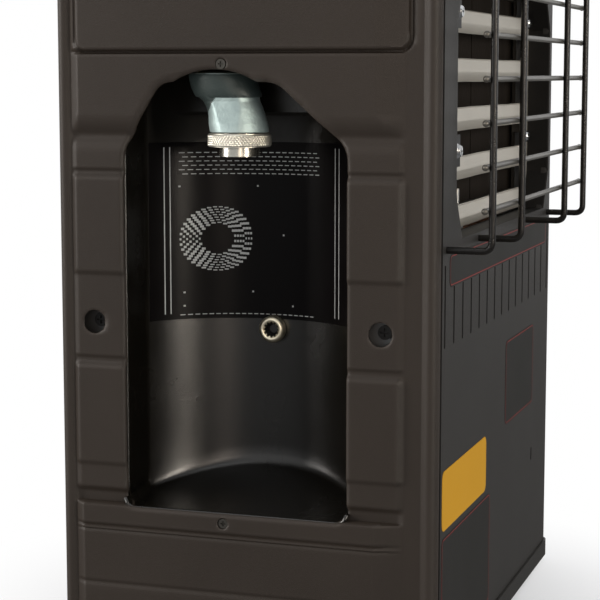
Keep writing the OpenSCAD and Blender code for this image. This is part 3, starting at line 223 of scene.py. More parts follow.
def photo_camera():
    """Camera at the photograph's viewing place, looking level along CAMERA_AHEAD and then down."""
    data = bpy.data.cameras.new("photo_camera")
    data.sensor_width = SENSOR_MM
    data.lens = FOCAL_PX / IMAGE * SENSOR_MM
    data.clip_start, data.clip_end = 0.05, 20
    level = math.cos(CAMERA_DOWN)
    ahead = Vector((CAMERA_AHEAD[0] * level, CAMERA_AHEAD[1] * level, -math.sin(CAMERA_DOWN)))
    scene.camera = placed("photo_camera", data, Vector(CAMERA_MM) * MM, ahead)


def area_lamp(name, place, target, size, power, colour, mirrored_only):
    """Rectangular soft lamp at a place in metres, facing a target."""
    data = bpy.data.lights.new(name, "AREA")
    data.shape = "RECTANGLE"
    data.size, data.size_y = size
    data.energy = power
    data.color = colour
    lamp = placed(name, data, place, Vector(target) - Vector(place))
    lamp.visible_diffuse = not mirrored_only


def put(node, **values):
    """Sets a shader node's inputs; an underscore in a name stands for a space."""
    for name, value in values.items():
        node.inputs[name.replace("_", " ")].default_value = value
    return node


def add(tree, kind, **values):
    """New shader node of a kind, with its inputs set."""
    return put(tree.nodes.new("ShaderNode" + kind), **values)


def wire(source, target):
    """Links an output to an input of the same node tree."""
    source.id_data.links.new(source, target)


def new_material(name):
    """Fresh node material, with its tree and its principled shader."""
    made = bpy.data.materials.new(name)
    made.use_nodes = True
    return made, made.node_tree, made.node_tree.nodes["Principled BSDF"]


def mix_shaders(tree, factor, first, last, target):
    """Runs from one shader to another by a factor, into a target input."""
    mix = add(tree, "MixShader")
    for source, place in zip((factor, first.outputs[0], last.outputs[0]), mix.inputs):
        wire(source, place)
    wire(mix.outputs[0], target)


def white_where_seen(tree, shader_in, dim, background):
    """Mixes a dim light for the object with a white background for camera, glossy and transmission rays."""
    path = add(tree, "LightPath")
    seen = path.outputs["Is Camera Ray"]
    for ray in ("Is Transmission Ray", "Is Glossy Ray"):
        either = add(tree, "Math")
        either.operation = "MAXIMUM"
        wire(seen, either.inputs[0])
        wire(path.outputs[ray], either.inputs[1])
        seen = either.outputs[0]
    mix_shaders(tree, seen, dim, background, shader_in)


def level_square(name, height):
    """Large flat square about the origin."""
    return surface(name, [[(x, y, height) for y in (-FAR, FAR)] for x in (-FAR, FAR)])


def studio():
    """World, floor and lamps: plain, pale and soft; and grey cards that only reflections see."""
    world = bpy.data.worlds.new("studio")
    scene.world = world
    world.use_nodes = True
    tree = world.node_tree
    tree.nodes.clear()
    out = add(tree, "OutputWorld")
    dim = add(tree, "Background", Color=(0.9, 0.93, 1.0, 1), Strength=0.42)
    white = add(tree, "Background", Color=(1, 1, 1, 1), Strength=1.0)
    white_where_seen(tree, out.inputs["Surface"], dim, white)

    floor = level_square("floor", 0)
    floor.data.materials.append(floor_finish())
    floor.visible_glossy = False

    grey = card_finish()
    plan = np.array(CARD_PLAN, float)
    upright = np.stack([np.c_[plan, np.zeros(3)], np.c_[plan, np.full(3, float(FAR))]], 1)
    for card in (surface("side_card", upright), level_square("floor_card", CARD_UNDER)):
        card.data.materials.append(grey)
        card.visible_camera = False
        card.visible_diffuse = False
        card.visible_transmission = False
        card.visible_shadow = False

    for lamp in LAMPS:
        area_lamp(*lamp)


def card_finish():
    """Grey glow of the cards that only reflections see, so that glossy faces mirror less light there."""
    made, tree, _ = new_material("card_grey")
    glow = add(tree, "Emission", Color=(0.2, 0.2, 0.2, 1))
    wire(glow.outputs[0], tree.nodes["Material Output"].inputs["Surface"])
    return made


def floor_finish():
    """Pale matte floor: it keeps the soft shadow near the object and passes into plain white further out."""
    made, tree, shader = new_material("floor_white")
    put(shader, Base_Color=(0.9, 0.9, 0.9, 1), Roughness=0.9)
    glow = add(tree, "Emission")
    place = add(tree, "TexCoord")
    far = add(tree, "VectorMath")
    far.operation = "LENGTH"
    wire(place.outputs["Object"], far.inputs[0])
    fade = add(tree, "MapRange", From_Min=0.08, From_Max=0.3, To_Min=0.35)
    fade.interpolation_type = "SMOOTHSTEP"
    wire(far.outputs["Value"], fade.inputs["Value"])
    mix_shaders(tree, fade.outputs["Result"], shader, glow, tree.nodes["Material Output"].inputs["Surface"])
    return made


def full_turn(steps):
    """Angles all the way round, without the last one that would repeat the first."""
    return np.linspace(0, 2 * np.pi, steps, endpoint=False)


def grid(*axes):
    """Points whose coordinates are spread to one common shape."""
    return np.stack(np.broadcast_arrays(*axes), -1)


def surface(name, points, close_v=False, faces_keep=None, flip=False):
    """Mesh of a grid of points (rows, columns, xyz) in millimetres; closed rows join back to their start."""
    points = np.asarray(points, float)
    rows, columns = points.shape[:2]
    i, j = np.meshgrid(np.arange(rows - 1), np.arange(columns if close_v else columns - 1), indexing="ij")
    here, below, after = i * columns, (i + 1) * columns, (j + 1) % columns
    quads = np.stack([here + j, below + j, below + after, here + after], -1).reshape(-1, 4)
    if faces_keep is not None:
        quads = quads[faces_keep.reshape(-1)]
    if flip:
        quads = quads[:, ::-1]
    used, compact = np.unique(quads, return_inverse=True)
    return mesh_object(name, points.reshape(-1, 3)[used], compact.reshape(quads.shape).tolist())


def mesh_object(name, points, faces):
    """Object from points in millimetres and faces as lists of corner numbers, smooth shaded."""
    mesh = bpy.data.meshes.new(name)
    mesh.from_pydata((np.asarray(points) * MM).tolist(), [], faces)
    mesh.update()
    mesh.polygons.foreach_set("use_smooth", np.ones(len(mesh.polygons), bool))
    obj = bpy.data.objects.new(name, mesh)
    scene.collection.objects.link(obj)
    return obj


def points_of(mesh):
    """A mesh's points in metres, as rows."""
    points = np.zeros(len(mesh.vertices) * 3)
    mesh.vertices.foreach_get("co", points)
    return points.reshape(-1, 3)


def joined(name, objects):
    """One object from several: their points and faces in a row."""
    points, faces, count = [], [], 0
    for obj in objects:
        mesh = obj.data
        corners = np.zeros(len(mesh.loops), np.int32)
        mesh.loops.foreach_get("vertex_index", corners)
        starts = np.zeros(len(mesh.polygons), np.int32)
        mesh.polygons.foreach_get("loop_start", starts)
        points.append(points_of(mesh) / MM)
        faces += [face.tolist() for face in np.split(corners + count, starts[1:])]
        count += len(mesh.vertices)
        bpy.data.objects.remove(obj)
    return mesh_object(name, np.concatenate(points), faces)


def finish_mesh(obj, angle=35, thickness=None, offset=-1.0):
    """Merges doubled points, adds a wall if one is asked for, and splits the edges sharper than an angle."""
    work = bmesh.new()
    work.from_mesh(obj.data)
    bmesh.ops.remove_doubles(work, verts=work.verts, dist=0.00002)
    work.to_mesh(obj.data)
    work.free()
    if thickness:
        solid = obj.modifiers.new("wall", "SOLIDIFY")
        solid.thickness = thickness * MM
        solid.offset = offset
    obj.data.set_sharp_from_angle(angle=math.radians(angle))
    return obj


def lathe(name, profile, centre, axis="z", segments=64):
    """Turned shape: profile rows are (radius, height); the circle runs about an axis through centre."""
    profile = np.asarray(profile, float)
    turn = full_turn(segments)
    across = profile[:, :1] * np.cos(turn)
    up = profile[:, :1] * np.sin(turn)
    along = profile[:, 1:]
    order = {"z": (across, up, along), "x": (along, across, up)}[axis]
    return surface(name, grid(*order) + np.asarray(centre, float), close_v=True, flip=True)


def round_corner(points, radius, steps=6):
    """Polyline with each inner corner replaced by a short quadratic curve that starts a radius before it."""
    points = np.asarray(points, float)
    out = [points[:1]]
    for before, corner, after in zip(points[:-2], points[1:-1], points[2:]):
        back, ahead = before - corner, after - corner
        reach = min(radius, np.linalg.norm(back) * 0.49, np.linalg.norm(ahead) * 0.49)
        start = corner + back / np.linalg.norm(back) * reach
        end = corner + ahead / np.linalg.norm(ahead) * reach
        t = np.linspace(0, 1, steps)[:, None]
        out.append((1 - t) ** 2 * start + 2 * t * (1 - t) * corner + t ** 2 * end)
    out.append(points[-1:])
    return np.concatenate(out)


def sweep(name, path, radius, segments=16, close_ends=True):
    """Round bar along a path: a circle in the plane square to the path at each of its points."""
    path = np.asarray(path, float)
    ahead = np.gradient(path, axis=0)
    ahead /= np.linalg.norm(ahead, axis=1, keepdims=True)
    flat = np.zeros(3)
    flat[np.argmin(path.max(0) - path.min(0))] = 1
    side = np.cross(ahead, flat)
    side /= np.linalg.norm(side, axis=1, keepdims=True)
    lift = np.cross(side, ahead)
    radius = np.broadcast_to(radius, len(path)).astype(float)
    if close_ends:
        dome = np.linspace(0, np.pi / 2, 5)[:-1]
        grow = np.sin(dome)
        grow[0] = 0.01
        bulge = 0.6 * np.cos(dome)[:, None]
        path = np.concatenate([path[:1] - ahead[:1] * radius[0] * bulge, path,
                               path[-1:] + ahead[-1:] * radius[-1] * bulge[::-1]])
        side, lift = [np.concatenate([way[:1].repeat(4, 0), way, way[-1:].repeat(4, 0)])
                      for way in (side, lift)]
        radius = np.concatenate([radius[0] * grow, radius, radius[-1] * grow[::-1]])
    turn = full_turn(segments)[None, :, None]
    ring = np.cos(turn) * side[:, None] + np.sin(turn) * lift[:, None]
    return surface(name, path[:, None] + ring * radius[:, None, None], close_v=True)


def step(x, start, end):
    """Smooth rise from 0 at start to 1 at end."""
    t = np.clip((x - start) / (end - start), 0, 1)
    return t * t * (3 - 2 * t)


def stripe(x, low, high, soft=0.7):
    """1 between low and high and 0 outside, with soft edges."""
    return step(x, low - soft, low + soft) * (1 - step(x, high - soft, high + soft))


def fine_lines(low, high, coarse, fine, marks, reach):
    """Grid lines from low to high, spaced coarse, and spaced fine within reach of each mark."""
    lines = [low]
    marks = np.asarray(marks, float)
    while lines[-1] < high:
        near = np.min(np.abs(marks - lines[-1])) < reach
        lines.append(min(high, lines[-1] + (fine if near else coarse)))
    return np.array(lines)


def nearest_on(outline, points):
    """For each point: the nearest point of a closed outline, the distance, and whether it lies inside."""
    best = np.full(len(points), 1e9)
    place = points.copy()
    inside = np.zeros(len(points), bool)
    for a, v in zip(outline, np.roll(outline, -1, 0) - outline):
        t = np.clip(((points - a) @ v) / (v @ v), 0, 1)
        foot = a + t[:, None] * v
        gap = np.linalg.norm(points - foot, axis=1)
        nearer = gap < best
        best[nearer] = gap[nearer]
        place[nearer] = foot[nearer]
        crosses = (a[1] > points[:, 1]) != (a[1] + v[1] > points[:, 1])
        if v[1] != 0:
            inside ^= crosses & (points[:, 0] < a[0] + (points[:, 1] - a[1]) * v[0] / v[1])
    return place, best, inside


def around(centre, radius, turn):
    """The two coordinates of the points at a radius from a centre, at the given angles."""
    return centre[0] + radius * np.cos(turn), centre[1] + radius * np.sin(turn)


def circle_outline(centre, radius, steps=40):
    """Closed ring of points round a centre."""
    return np.stack(around(centre, radius, full_turn(steps)), -1)


def niche_outline():
    """Opening with cut upper corners, all corners rounded, and a low arch over the regulator."""
    start = (NICHE_MIDDLE, NICHE_FLOOR)
    corners = [start, (NICHE_REAR, NICHE_FLOOR), (NICHE_REAR, CUT_REAR[1]), (CUT_REAR[0], NICHE_TOP),
               (CUT_FRONT[0], NICHE_TOP), (NICHE_FRONT, CUT_FRONT[1]), (NICHE_FRONT, NICHE_FLOOR), start]
    line = round_corner(corners, OUTLINE_R, 7)[:-1]
    across = np.linspace(-1, 1, 25) * ARCH_HALF
    radius = (ARCH_HALF ** 2 + ARCH_RISE ** 2) / (2 * ARCH_RISE)
    rise = np.sqrt(radius ** 2 - across ** 2) - radius + ARCH_RISE
    arch = np.stack([ARCH_MIDDLE - across, NICHE_TOP + rise], -1)
    split = int(np.argmax((line[:, 0] < ARCH_BEFORE[0]) & (line[:, 1] > ARCH_BEFORE[1])))
    before = line[:split]
    before = before[(before[:, 0] > ARCH_MIDDLE + ARCH_HALF) | (before[:, 1] < NICHE_TOP - 5)]
    return np.concatenate([before, arch, line[split:]])


def rail_relief(z):
    """Depth of a rail beside the niche over its height: proud panels, two beads and a hollow foot."""
    depth = np.full_like(z, RAIL_IN)
    for rise, low, high, soft in RAIL_FORMS:
        depth += rise * stripe(z, low, high, soft)
    return depth


def side_relief(s, z):
    """Depth of the niche side's face: columns, their facets, band, slope, rails, ledge and lower panel."""
    upper = step(z, BAND_FROM, BAND_TO)
    ledge = 1 - step(z, *LEDGE)
    band = BAND_IN - BAND_RISE[0] * step(z, *BAND_RISE[1:]) + BAND_GROOVE[0] * stripe(z, *BAND_GROOVE[1:])
    lower = 0.35 + sum(1.5 * stripe(z, *groove, 0.5) for groove in PANEL_GROOVES)
    lower += sum(fall * (1 - step(z, low, high)) for fall, low, high in PANEL_FALLS)
    middle = rail_relief(z) * (1 - upper) + band * upper + COVE_IN * stripe(z, *SLOPE_COVE) * (s < COVE_END)
    middle = middle * (1 - ledge) + lower * ledge
    # Facets that fall from the middle to the columns: wide at the front, narrow at the rear
    slant = np.clip((z - WIDEN_FROM) / WIDEN_OVER, 0, 1) * (1 - ledge) + ledge
    front_out, front_in, widening = FACET_FRONT
    front_in = front_in + widening * slant
    rear_out, rear_in, widening = FACET_REAR
    rear_in = rear_in - widening * slant
    fall_front = np.clip((front_in - s) / (front_in - front_out), 0, 1)
    fall_rear = np.clip((s - rear_in) / (rear_out - rear_in), 0, 1)
    return middle + (COLUMN_IN - middle) * np.maximum(fall_front, fall_rear)


def pad_edge(s, z):
    """How far a place is inside the raised pad at the top, which has rounded lower corners."""
    dx = np.minimum(s - PAD_FRONT, PAD_REAR - s)
    dz = z - PAD_LOW
    corner = PAD_R - np.hypot(np.minimum(dx - PAD_R, 0), np.minimum(dz - PAD_R, 0))
    return np.where((dx < PAD_R) & (dz < PAD_R), corner, np.minimum(dx, dz))


def cover_path(s_lines):
    """Plan of a side cover: round the front corner, along the side, round the rear corner. Rows are (distance
    along, inward normal x, inward normal y, x, y), with x and y measured from the side and the front."""
    turn = np.linspace(math.radians(LIP_TURN), math.pi / 2, 12)
    front = np.stack([-CORNER_R * (math.pi / 2 - turn), np.sin(turn), np.cos(turn),
                      CORNER_R - CORNER_R * np.sin(turn), CORNER_R - CORNER_R * np.cos(turn)], -1)
    lip = front[:1] + np.array([[-6.0, 0, 0, *LIP_REACH]])
    front = np.concatenate([lip, front])
    flat = s_lines[(s_lines > CORNER_R) & (s_lines < DEPTH - CORNER_R)]
    side = np.stack([flat - CORNER_R, np.ones_like(flat), np.zeros_like(flat), np.zeros_like(flat), flat], -1)
    rear = front[::-1].copy()
    rear[:, 0] = DEPTH - 2 * CORNER_R - front[::-1, 0]
    rear[:, 2] *= -1
    rear[:, 4] = DEPTH - front[::-1, 4]
    return np.concatenate([front, side, rear])


def cut_out(s, z, flat, shapes):
    """Cuts closed outlines out of the flat part of a grid. The points of the rim move on to the outline. Also
    gives the faces to keep and how far the surface falls near a rim, on a round of each shape's radius."""
    drop = np.zeros_like(s, bool)
    rounding = np.zeros_like(s)
    places = np.stack([s, z], -1).reshape(-1, 2)
    for ring, radius in shapes:
        foot, gap, inside = nearest_on(ring, places)
        inside = inside.reshape(s.shape) & flat[:, None]
        cell = inside[:-1, :-1] & inside[1:, :-1] & inside[:-1, 1:] & inside[1:, 1:]
        outer = np.zeros_like(inside)
        for a in (slice(None, -1), slice(1, None)):
            for b in (slice(None, -1), slice(1, None)):
                outer[a, b] |= ~cell
        drop |= np.pad(cell, ((0, 1), (0, 1)))
        pull = inside & outer
        foot = foot.reshape(*s.shape, 2)
        s = np.where(pull, foot[..., 0], s)
        z = np.where(pull, foot[..., 1], z)
        near = np.clip(radius - np.where(inside, 0, gap.reshape(s.shape)), 0, radius)
        rounding = np.maximum(rounding, radius - np.sqrt(radius ** 2 - near ** 2))
    return s, z, ~drop[:-1, :-1], rounding


def side_cover(name, relief, shapes, far=False):
    """Moulded side cover: its plan carried up the height, pushed in by the relief and cut at the shapes.
    The far one is mirrored and has sharp hole rims."""
    path = cover_path(fine_lines(0, DEPTH, 2.6, 0.9, MARKS_S, 4.2))
    flat = (path[:, 1] == 1) & (path[:, 3] == 0)
    z_lines = fine_lines(DECK_Z - BASE_Z, SIDE_TOP_Z - BASE_Z, 2.6, 0.85, MARKS_Z, 4.0)
    s, z = np.meshgrid(path[:, 4], z_lines, indexing="ij")
    s, z, keep, rounding = cut_out(s, z, flat, shapes)
    depth = relief(s, z) + (0 if far else rounding)
    depth *= step(path[:, 4], 2.0, CORNER_R)[:, None] * step(DEPTH - path[:, 4], 2.0, CORNER_R)[:, None]
    x = path[:, 3:4] + depth * path[:, 1:2]
    y = np.where(flat[:, None], s, path[:, 4:5]) + depth * path[:, 2:3]
    points = np.stack([(-1 if far else 1) * (SIDE_X + x), FRONT_Y + y, BASE_Z + z], -1)
    return finish_mesh(surface(name, points, faces_keep=keep, flip=not far), 50, WALL, -1)


def niche_relief(s, z):
    """The niche side's relief, with the raised pad laid over it and a dark line round the pad."""
    depth = side_relief(s, z)
    inside = pad_edge(s, z)
    pad = PAD_PROUD + PAD_FALL * np.clip((PAD_FACET - s) / (PAD_FACET - PAD_FRONT), 0, 1)
    line = PAD_LINE[0] * (1 - step(np.abs(inside + PAD_LINE[1]), 0.6, 1.5)) * (z > PAD_AREA)
    padded = depth + (pad - depth) * step(inside, -0.6, 0.8) + line * (inside < 0.6)
    return np.where(z > PAD_AREA, padded, depth)


def within(s, z, front, rear, low, high):
    """How far a place is inside the nearest side of a rectangle."""
    return np.minimum(np.minimum(s - front, rear - s), np.minimum(z - low, high - z))


def plain_relief(s, z):
    """The plain side's relief: a shallow field with five long ribs and two screw wells."""
    depth = 1.6 * step(within(s, z, *PLAIN_FIELD), -1.0, 1.5)
    for i in range(RIB_N):
        depth -= 1.3 * step(within(s, z - i * RIB_PITCH, *PLAIN_RIB), -0.6, 1.2)
    return depth


def niche_wall_in(s):
    """Depth of the concave back wall, at a distance behind the front sheet: a circle in plan."""
    return NICHE_AXIS_IN + np.sqrt(np.maximum(NICHE_R ** 2 - (s - NICHE_MIDDLE) ** 2, 0))


def scoop_height(depth):
    """Height of the scooped floor above the base: it rises with the square of its depth."""
    return NICHE_FLOOR + SCOOP_RISE * (depth / SCOOP_REACH) ** 2


def niche_shell():
    """Niche walls and scooped floor, which meets the walls in a fillet."""
    back = np.linspace(NICHE_FRONT, NICHE_REAR, 97)
    t = np.concatenate([np.linspace(0, 0.8, 14), np.linspace(0.83, 1, 14)])
    s, t = np.meshgrid(back, t, indexing="ij")
    wall = niche_wall_in(s)
    depth = FLOOR_FROM + t * (wall - FLOOR_FROM)
    gap = np.minimum(np.minimum(s - NICHE_FRONT, NICHE_REAR - s), wall - depth)
    near = np.clip(FILLET - gap, 0, FILLET)
    rise = FILLET - np.sqrt(FILLET ** 2 - near ** 2)
    z = scoop_height(depth) + rise
    floor = surface("niche_floor", np.stack([SIDE_X + depth, FRONT_Y + s, BASE_Z + z], -1), flip=True)

    side = np.linspace(SIDE_WALL_FROM, float(niche_wall_in(np.array(NICHE_FRONT))), 12)[:-1]
    plan_s = np.concatenate([np.full(11, NICHE_FRONT), back, np.full(11, NICHE_REAR)])
    plan_d = np.concatenate([side, niche_wall_in(back), side[::-1]])
    start = (scoop_height(plan_d) + FILLET)[:, None]
    z = start + (SHELL_TOP - start) * np.linspace(0, 1, 40)[None]
    points = grid(SIDE_X + plan_d[:, None], FRONT_Y + plan_s[:, None], BASE_Z + z)
    shell = joined("niche_shell", [floor, surface("niche_wall", points, flip=True)])
    return finish_mesh(shell, 60, SHELL_T, -1)


def level_patch(name, near, far, inset, height):
    """Flat patch across the niche between two depths, kept in from the niche's sides."""
    rows = [[(depth, s, height) for s in (NICHE_FRONT + inset, NICHE_REAR - inset)] for depth in (near, far)]
    return surface(name, np.array(rows, float) + (SIDE_X, FRONT_Y, BASE_Z))


def niche_block():
    """Housing of the swivel joint at the back of the niche's top, and the niche's ceiling."""
    front, rear = NICHE_FRONT + 1, NICHE_REAR - 1
    plan = round_corner([(74, front), (BLOCK_IN, front), (BLOCK_IN, rear), (74, rear)], 4, 6)
    rings = []
    for inset, z in ((BLOCK_BEVEL, BLOCK_UNDER), (0, BLOCK_UNDER + BLOCK_BEVEL), (0, SHELL_TOP + 1)):
        rings.append(grid(SIDE_X + (plan[:, 0] + inset), FRONT_Y + plan[:, 1], BASE_Z + z))
    under = level_patch("under", 50, 76, 1, BLOCK_UNDER)
    lid = level_patch("lid", 4, 50, 0, SHELL_TOP)
    return finish_mesh(joined("niche_block", [surface("block_face", rings), under, lid]), 40)


def regulator_shape():
    """Cast regulator: round sections carried up from the neck, leaning back and widening to the cap's rim."""
    axis_x, axis_y = turned_mm("cylinder_socket")[1][:2]
    heights = np.unique(np.concatenate([CAST_HEIGHT, np.arange(314, 328.6, CAST_FINE)]))
    heights = heights[:, None]
    lean, radius, planed, flare = [np.interp(heights, *rows) for rows in (
        (CAST_HEIGHT, CAST_LEAN), (CAST_HEIGHT, CAST_RADIUS), CAST_PLANED, CAST_FLARE)]
    turn = full_turn(96)[None]
    x = np.cos(turn) * radius
    # The cap's underside flares out towards the rear
    y = np.sin(turn) * radius + flare * np.maximum(np.sin(turn), 0) ** 2
    # The neck's front is planed flat towards the camera side
    limit = -radius * (1 - 0.17 * planed)
    x = np.where(x < limit, limit + (x - limit) * 0.12, x)
    x = x * np.where(heights > CAP_FROM, CAP_DEPTH, 1.0)
    points = grid(axis_x + x + SIDE_LEAN * lean, axis_y + y + lean, BASE_Z + heights)
    body = surface("regulator_casting", points, close_v=True, flip=True)

    middle = axis_x + SIDE_LEAN * DOME_LEAN
    place = (middle, axis_y + DOME_LEAN, BASE_Z + CAST_HEIGHT[-1])
    dome = lathe("regulator_dome", DOME, place, "z", 96)
    squeezed = points_of(dome.data)
    squeezed[:, 0] = middle * MM + (squeezed[:, 0] - middle * MM) * CAP_DEPTH
    dome.data.vertices.foreach_set("co", squeezed.reshape(-1))
    return finish_mesh(body, 38), finish_mesh(dome, 50)


def on_cap_and_neck_shade(middle):
    """Test for face middles on the cap, whose lower edge is level, and on the neck's rear, where the border
    runs down as painted shade under the cap's flare.
    """
    rear = box_mm("cylinder_socket")[0][1] + CAP_SHADE_REAR
    return middle[:, 2] > BASE_Z + CAP_FROM - CAP_SHADE_SLANT * np.maximum(middle[:, 1] - rear, 0)


def on_dome(middle):
    """Test for face middles on the painted top of the cap."""
    return middle[:, 2] > BASE_Z + CAP_TOP


def knurled_ring():
    """Ring with a diamond knurl: the radius dips along two crossing families of slanted lines."""
    lo, centre, radius, height = turned_mm("coupling_ring")
    turn = full_turn(480)[None]
    v = np.linspace(0, 1, 25)[:, None]
    teeth, twist = 62, 2.3
    slant = 2 * np.pi * v * height / twist
    ridge = np.abs(np.sin(teeth / 2 * turn + slant / 2)) * np.abs(np.sin(teeth / 2 * turn - slant / 2))
    edge = step(np.minimum(v, 1 - v) * height, 0.3, 0.9)
    r = radius - 0.5 + 0.48 * np.sqrt(ridge) * edge - 0.25 * (1 - edge)
    points = grid(*around(centre, r, turn), lo[2] + v * height)
    parts = [surface("ring_wall", points, close_v=True, flip=True)]
    profile = [(radius - 0.74, 0), (radius - 1.6, 0), (11.1, 0)]
    for z, name, rows in ((lo[2], "ring_under", profile[::-1]), (lo[2] + height, "ring_top", profile)):
        parts.append(lathe(name, rows, (centre[0], centre[1], z), "z", 96))
    return finish_mesh(joined("knurled_ring", parts), 30)


def guard_upright(x, low, high):
    """One upright wire: a leg from the sheet, a bend, the straight wire, a bend and a leg back."""
    leg = FRONT_Y + 1
    far = guard_lo[1] + WIRE_R
    path = [(x, leg, low), (x, far, low), (x, far, high), (x, leg, high)]
    return sweep("upright_wire", round_corner(path, GUARD_BEND, 9), WIRE_R, 20, close_ends=False)


def guard_wires():
    """The guard: four uprights, and cross wires whose ends are melted into small balls."""
    low, high = guard_lo[2] + WIRE_R, guard_hi[2] - WIRE_R
    uprights = joined("guard_upright_wires", [guard_upright(x, low, high) for x in GUARD_X])
    x0, length = cross_lo[0], cross_hi[0] - cross_lo[0]
    y = (cross_lo[1] + cross_hi[1]) / 2
    ball = 2 * CROSS_BALL_R
    t = np.concatenate([np.linspace(0, ball, 11), np.linspace(ball, length - ball, 30)[1:-1],
                        np.linspace(length - ball, length, 11)])
    end = np.minimum(t, length - t)
    radius = np.sqrt(np.maximum(CROSS_BALL_R ** 2 - (end - CROSS_BALL_R) ** 2, 0.0004))
    radius = np.where(end < CROSS_BALL_R, radius, np.maximum(radius, CROSS_R))
    bars = []
    for i in range(CROSS_N):
        z = cross_lo[2] + CROSS_BALL_R + (cross_hi[2] - cross_lo[2] - ball) * i / (CROSS_N - 1)
        bars.append(sweep("cross_wire", grid(x0 + t, y, z), radius, 16, close_ends=False))
    return finish_mesh(uprights, 60), finish_mesh(joined("guard_cross_wires", bars), 60)


def bent_slats():
    """Reflector slats: each section is bent along its middle and hemmed at both long edges."""
    section = np.array(SLAT_SECTION)
    x = np.linspace(SLAT_X0, SLAT_X1, 40)[:, None]
    pieces = []
    for i in range(SLAT_N):
        wave = 0.12 * np.sin(x / 37.0 + i) + 0.06 * np.sin(x / 11.0 + 2 * i)
        z = SLAT_Z + i * SLAT_PITCH + section[None, :, 1] + wave
        pieces.append(surface("slat", grid(x, REFLECTOR_Y + section[None, :, 0], z)))
    return finish_mesh(joined("bent_slats", pieces), 40, SHEET_T, 1)


def plate(name, outline):
    """Flat sheet-metal plate behind the reflector's face; the outline's rows are (x, z)."""
    outline = np.asarray(outline, float)
    n = len(outline)
    front = np.c_[outline[:, 0], np.full(n, REFLECTOR_Y), outline[:, 1]]
    ring = range(n)
    faces = [list(ring), [i + n for i in ring][::-1]]
    faces += [(i, i + n, (i + 1) % n + n, (i + 1) % n) for i in ring]
    return mesh_object(name, np.concatenate([front, front + (0, SHEET_T, 0)]), faces)


def opening_sides(grow=0.0):
    """Left, right, lower and upper side of the radiant opening, grown all round."""
    return (box_lo[0] + BOX_FLANGE - grow, box_hi[0] - BOX_FLANGE + grow,
            box_lo[2] + BOX_FLANGE - grow, box_hi[2] - BOX_FLANGE + grow)


def slat_flanges():
    """The two upright flanges that the slats end on, with the opening's cut corners."""
    x0, x1, z0, z1 = opening_sides()
    w, h = OPEN_CUT
    right = [(x1 - FLANGE_W, z0), (x1 - w, z0), (x1, z0 + h), (x1, z1 - h), (x1 - w, z1), (x1 - FLANGE_W, z1)]
    left = [(x0 + x1 - x, z) for x, z in right[::-1]]
    return joined("slat_flanges", [plate("right_flange", right), plate("left_flange", left)])


def opening_outline(grow):
    """Outline of the radiant opening, grown all round: a rectangle with cut corners; rows are (x, z)."""
    x0, x1, z0, z1 = opening_sides(grow)
    w, h = OPEN_CUT
    middle = ((x0 + x1) / 2, z0)
    line = [middle, (x1 - w, z0), (x1, z0 + h), (x1, z1 - h), (x1 - w, z1), (x0 + w, z1), (x0, z1 - h),
            (x0, z0 + h), (x0 + w, z0), middle]
    return round_corner(line, 5, 6)[:-1]


def opening_lip():
    """Pressed lip round the opening: the sheet's edge curls inwards over a quarter round."""
    curl = [(2.4 - 2.2 * np.sin(a), 2.2 * (1 - np.cos(a))) for a in np.linspace(0, np.pi / 2, 7)]
    rings = []
    for grow, sink in [(3.2, -0.02)] + curl + [(0.2, 5.0)]:
        line = opening_outline(grow)
        rings.append(grid(line[:, 0], FRONT_Y - 0.05 + sink, line[:, 1]))
    return finish_mesh(surface("opening_lip", rings, close_v=True), 50)


def rays_from(centre, angles, middle, half, corner):
    """Points of a rounded rectangle about a middle, met by rays from a centre at the given angles."""
    turn = np.linspace(0, np.pi / 2, 9)
    arc = np.stack([np.cos(turn), np.sin(turn)], -1) * corner
    line = []
    for i, (sx, sy) in enumerate([(1, 1), (-1, 1), (-1, -1), (1, -1)]):
        part = arc if i % 2 == 0 else arc[::-1]
        line.append(np.array([sx * (half[0] - corner), sy * (half[1] - corner)]) + part * (sx, sy))
    line = np.concatenate(line) + middle - centre
    bearing = np.unwrap(np.arctan2(line[:, 1], line[:, 0]))
    span = np.concatenate([bearing, bearing[:1] + 2 * np.pi])
    length = np.concatenate([line, line[:1]])
    wanted = np.mod(angles - span[0], 2 * np.pi) + span[0]
    place = np.stack([np.interp(wanted, span, length[:, k]) for k in (0, 1)], -1)
    return place + centre


def moulded_top():
    """Top cover: rings from the skirt's foot, over a round shoulder, to the rim of the grille's opening."""
    lo, hi = box_mm("top_cover")
    g_lo, g_hi = box_mm("top_grille")
    middle = np.array([0.0, (REAR_Y + FRONT_Y) / 2])
    centre = (g_lo[:2] + g_hi[:2]) / 2
    hole = (g_hi[:2] - g_lo[:2]) / 2 - GRILLE_LIP
    half = (hi[:2] - lo[:2]) / 2
    angles = full_turn(720)
    turn = np.linspace(0, np.pi / 2, 9)[1:]
    skirt = [(0.4, lo[2] + 0.02), (0.05, lo[2] + 0.6), (0.05, hi[2] - TOP_ROUND)]
    shoulder = [(0.05 + TOP_ROUND * (1 - np.cos(a)), hi[2] - TOP_ROUND * (1 - np.sin(a))) for a in turn]
    rings = []
    for inset, z in skirt + shoulder:
        edge = rays_from(centre, angles, middle, half - inset, max(CORNER_R - inset, 3))
        rings.append(grid(edge[:, 0], edge[:, 1], z))
    inner = rays_from(centre, angles, centre, hole, 2.0)
    for t, drop in ((0.03, 0), (0.25, 0), (0.5, 0), (0.75, 0), (0.97, 0), (1.0, 0), (1.0, 3.0)):
        flat = edge + (inner - edge) * t
        rings.append(grid(flat[:, 0], flat[:, 1], hi[2] - drop))
    return finish_mesh(surface("moulded_top", rings, close_v=True, flip=True), 40)


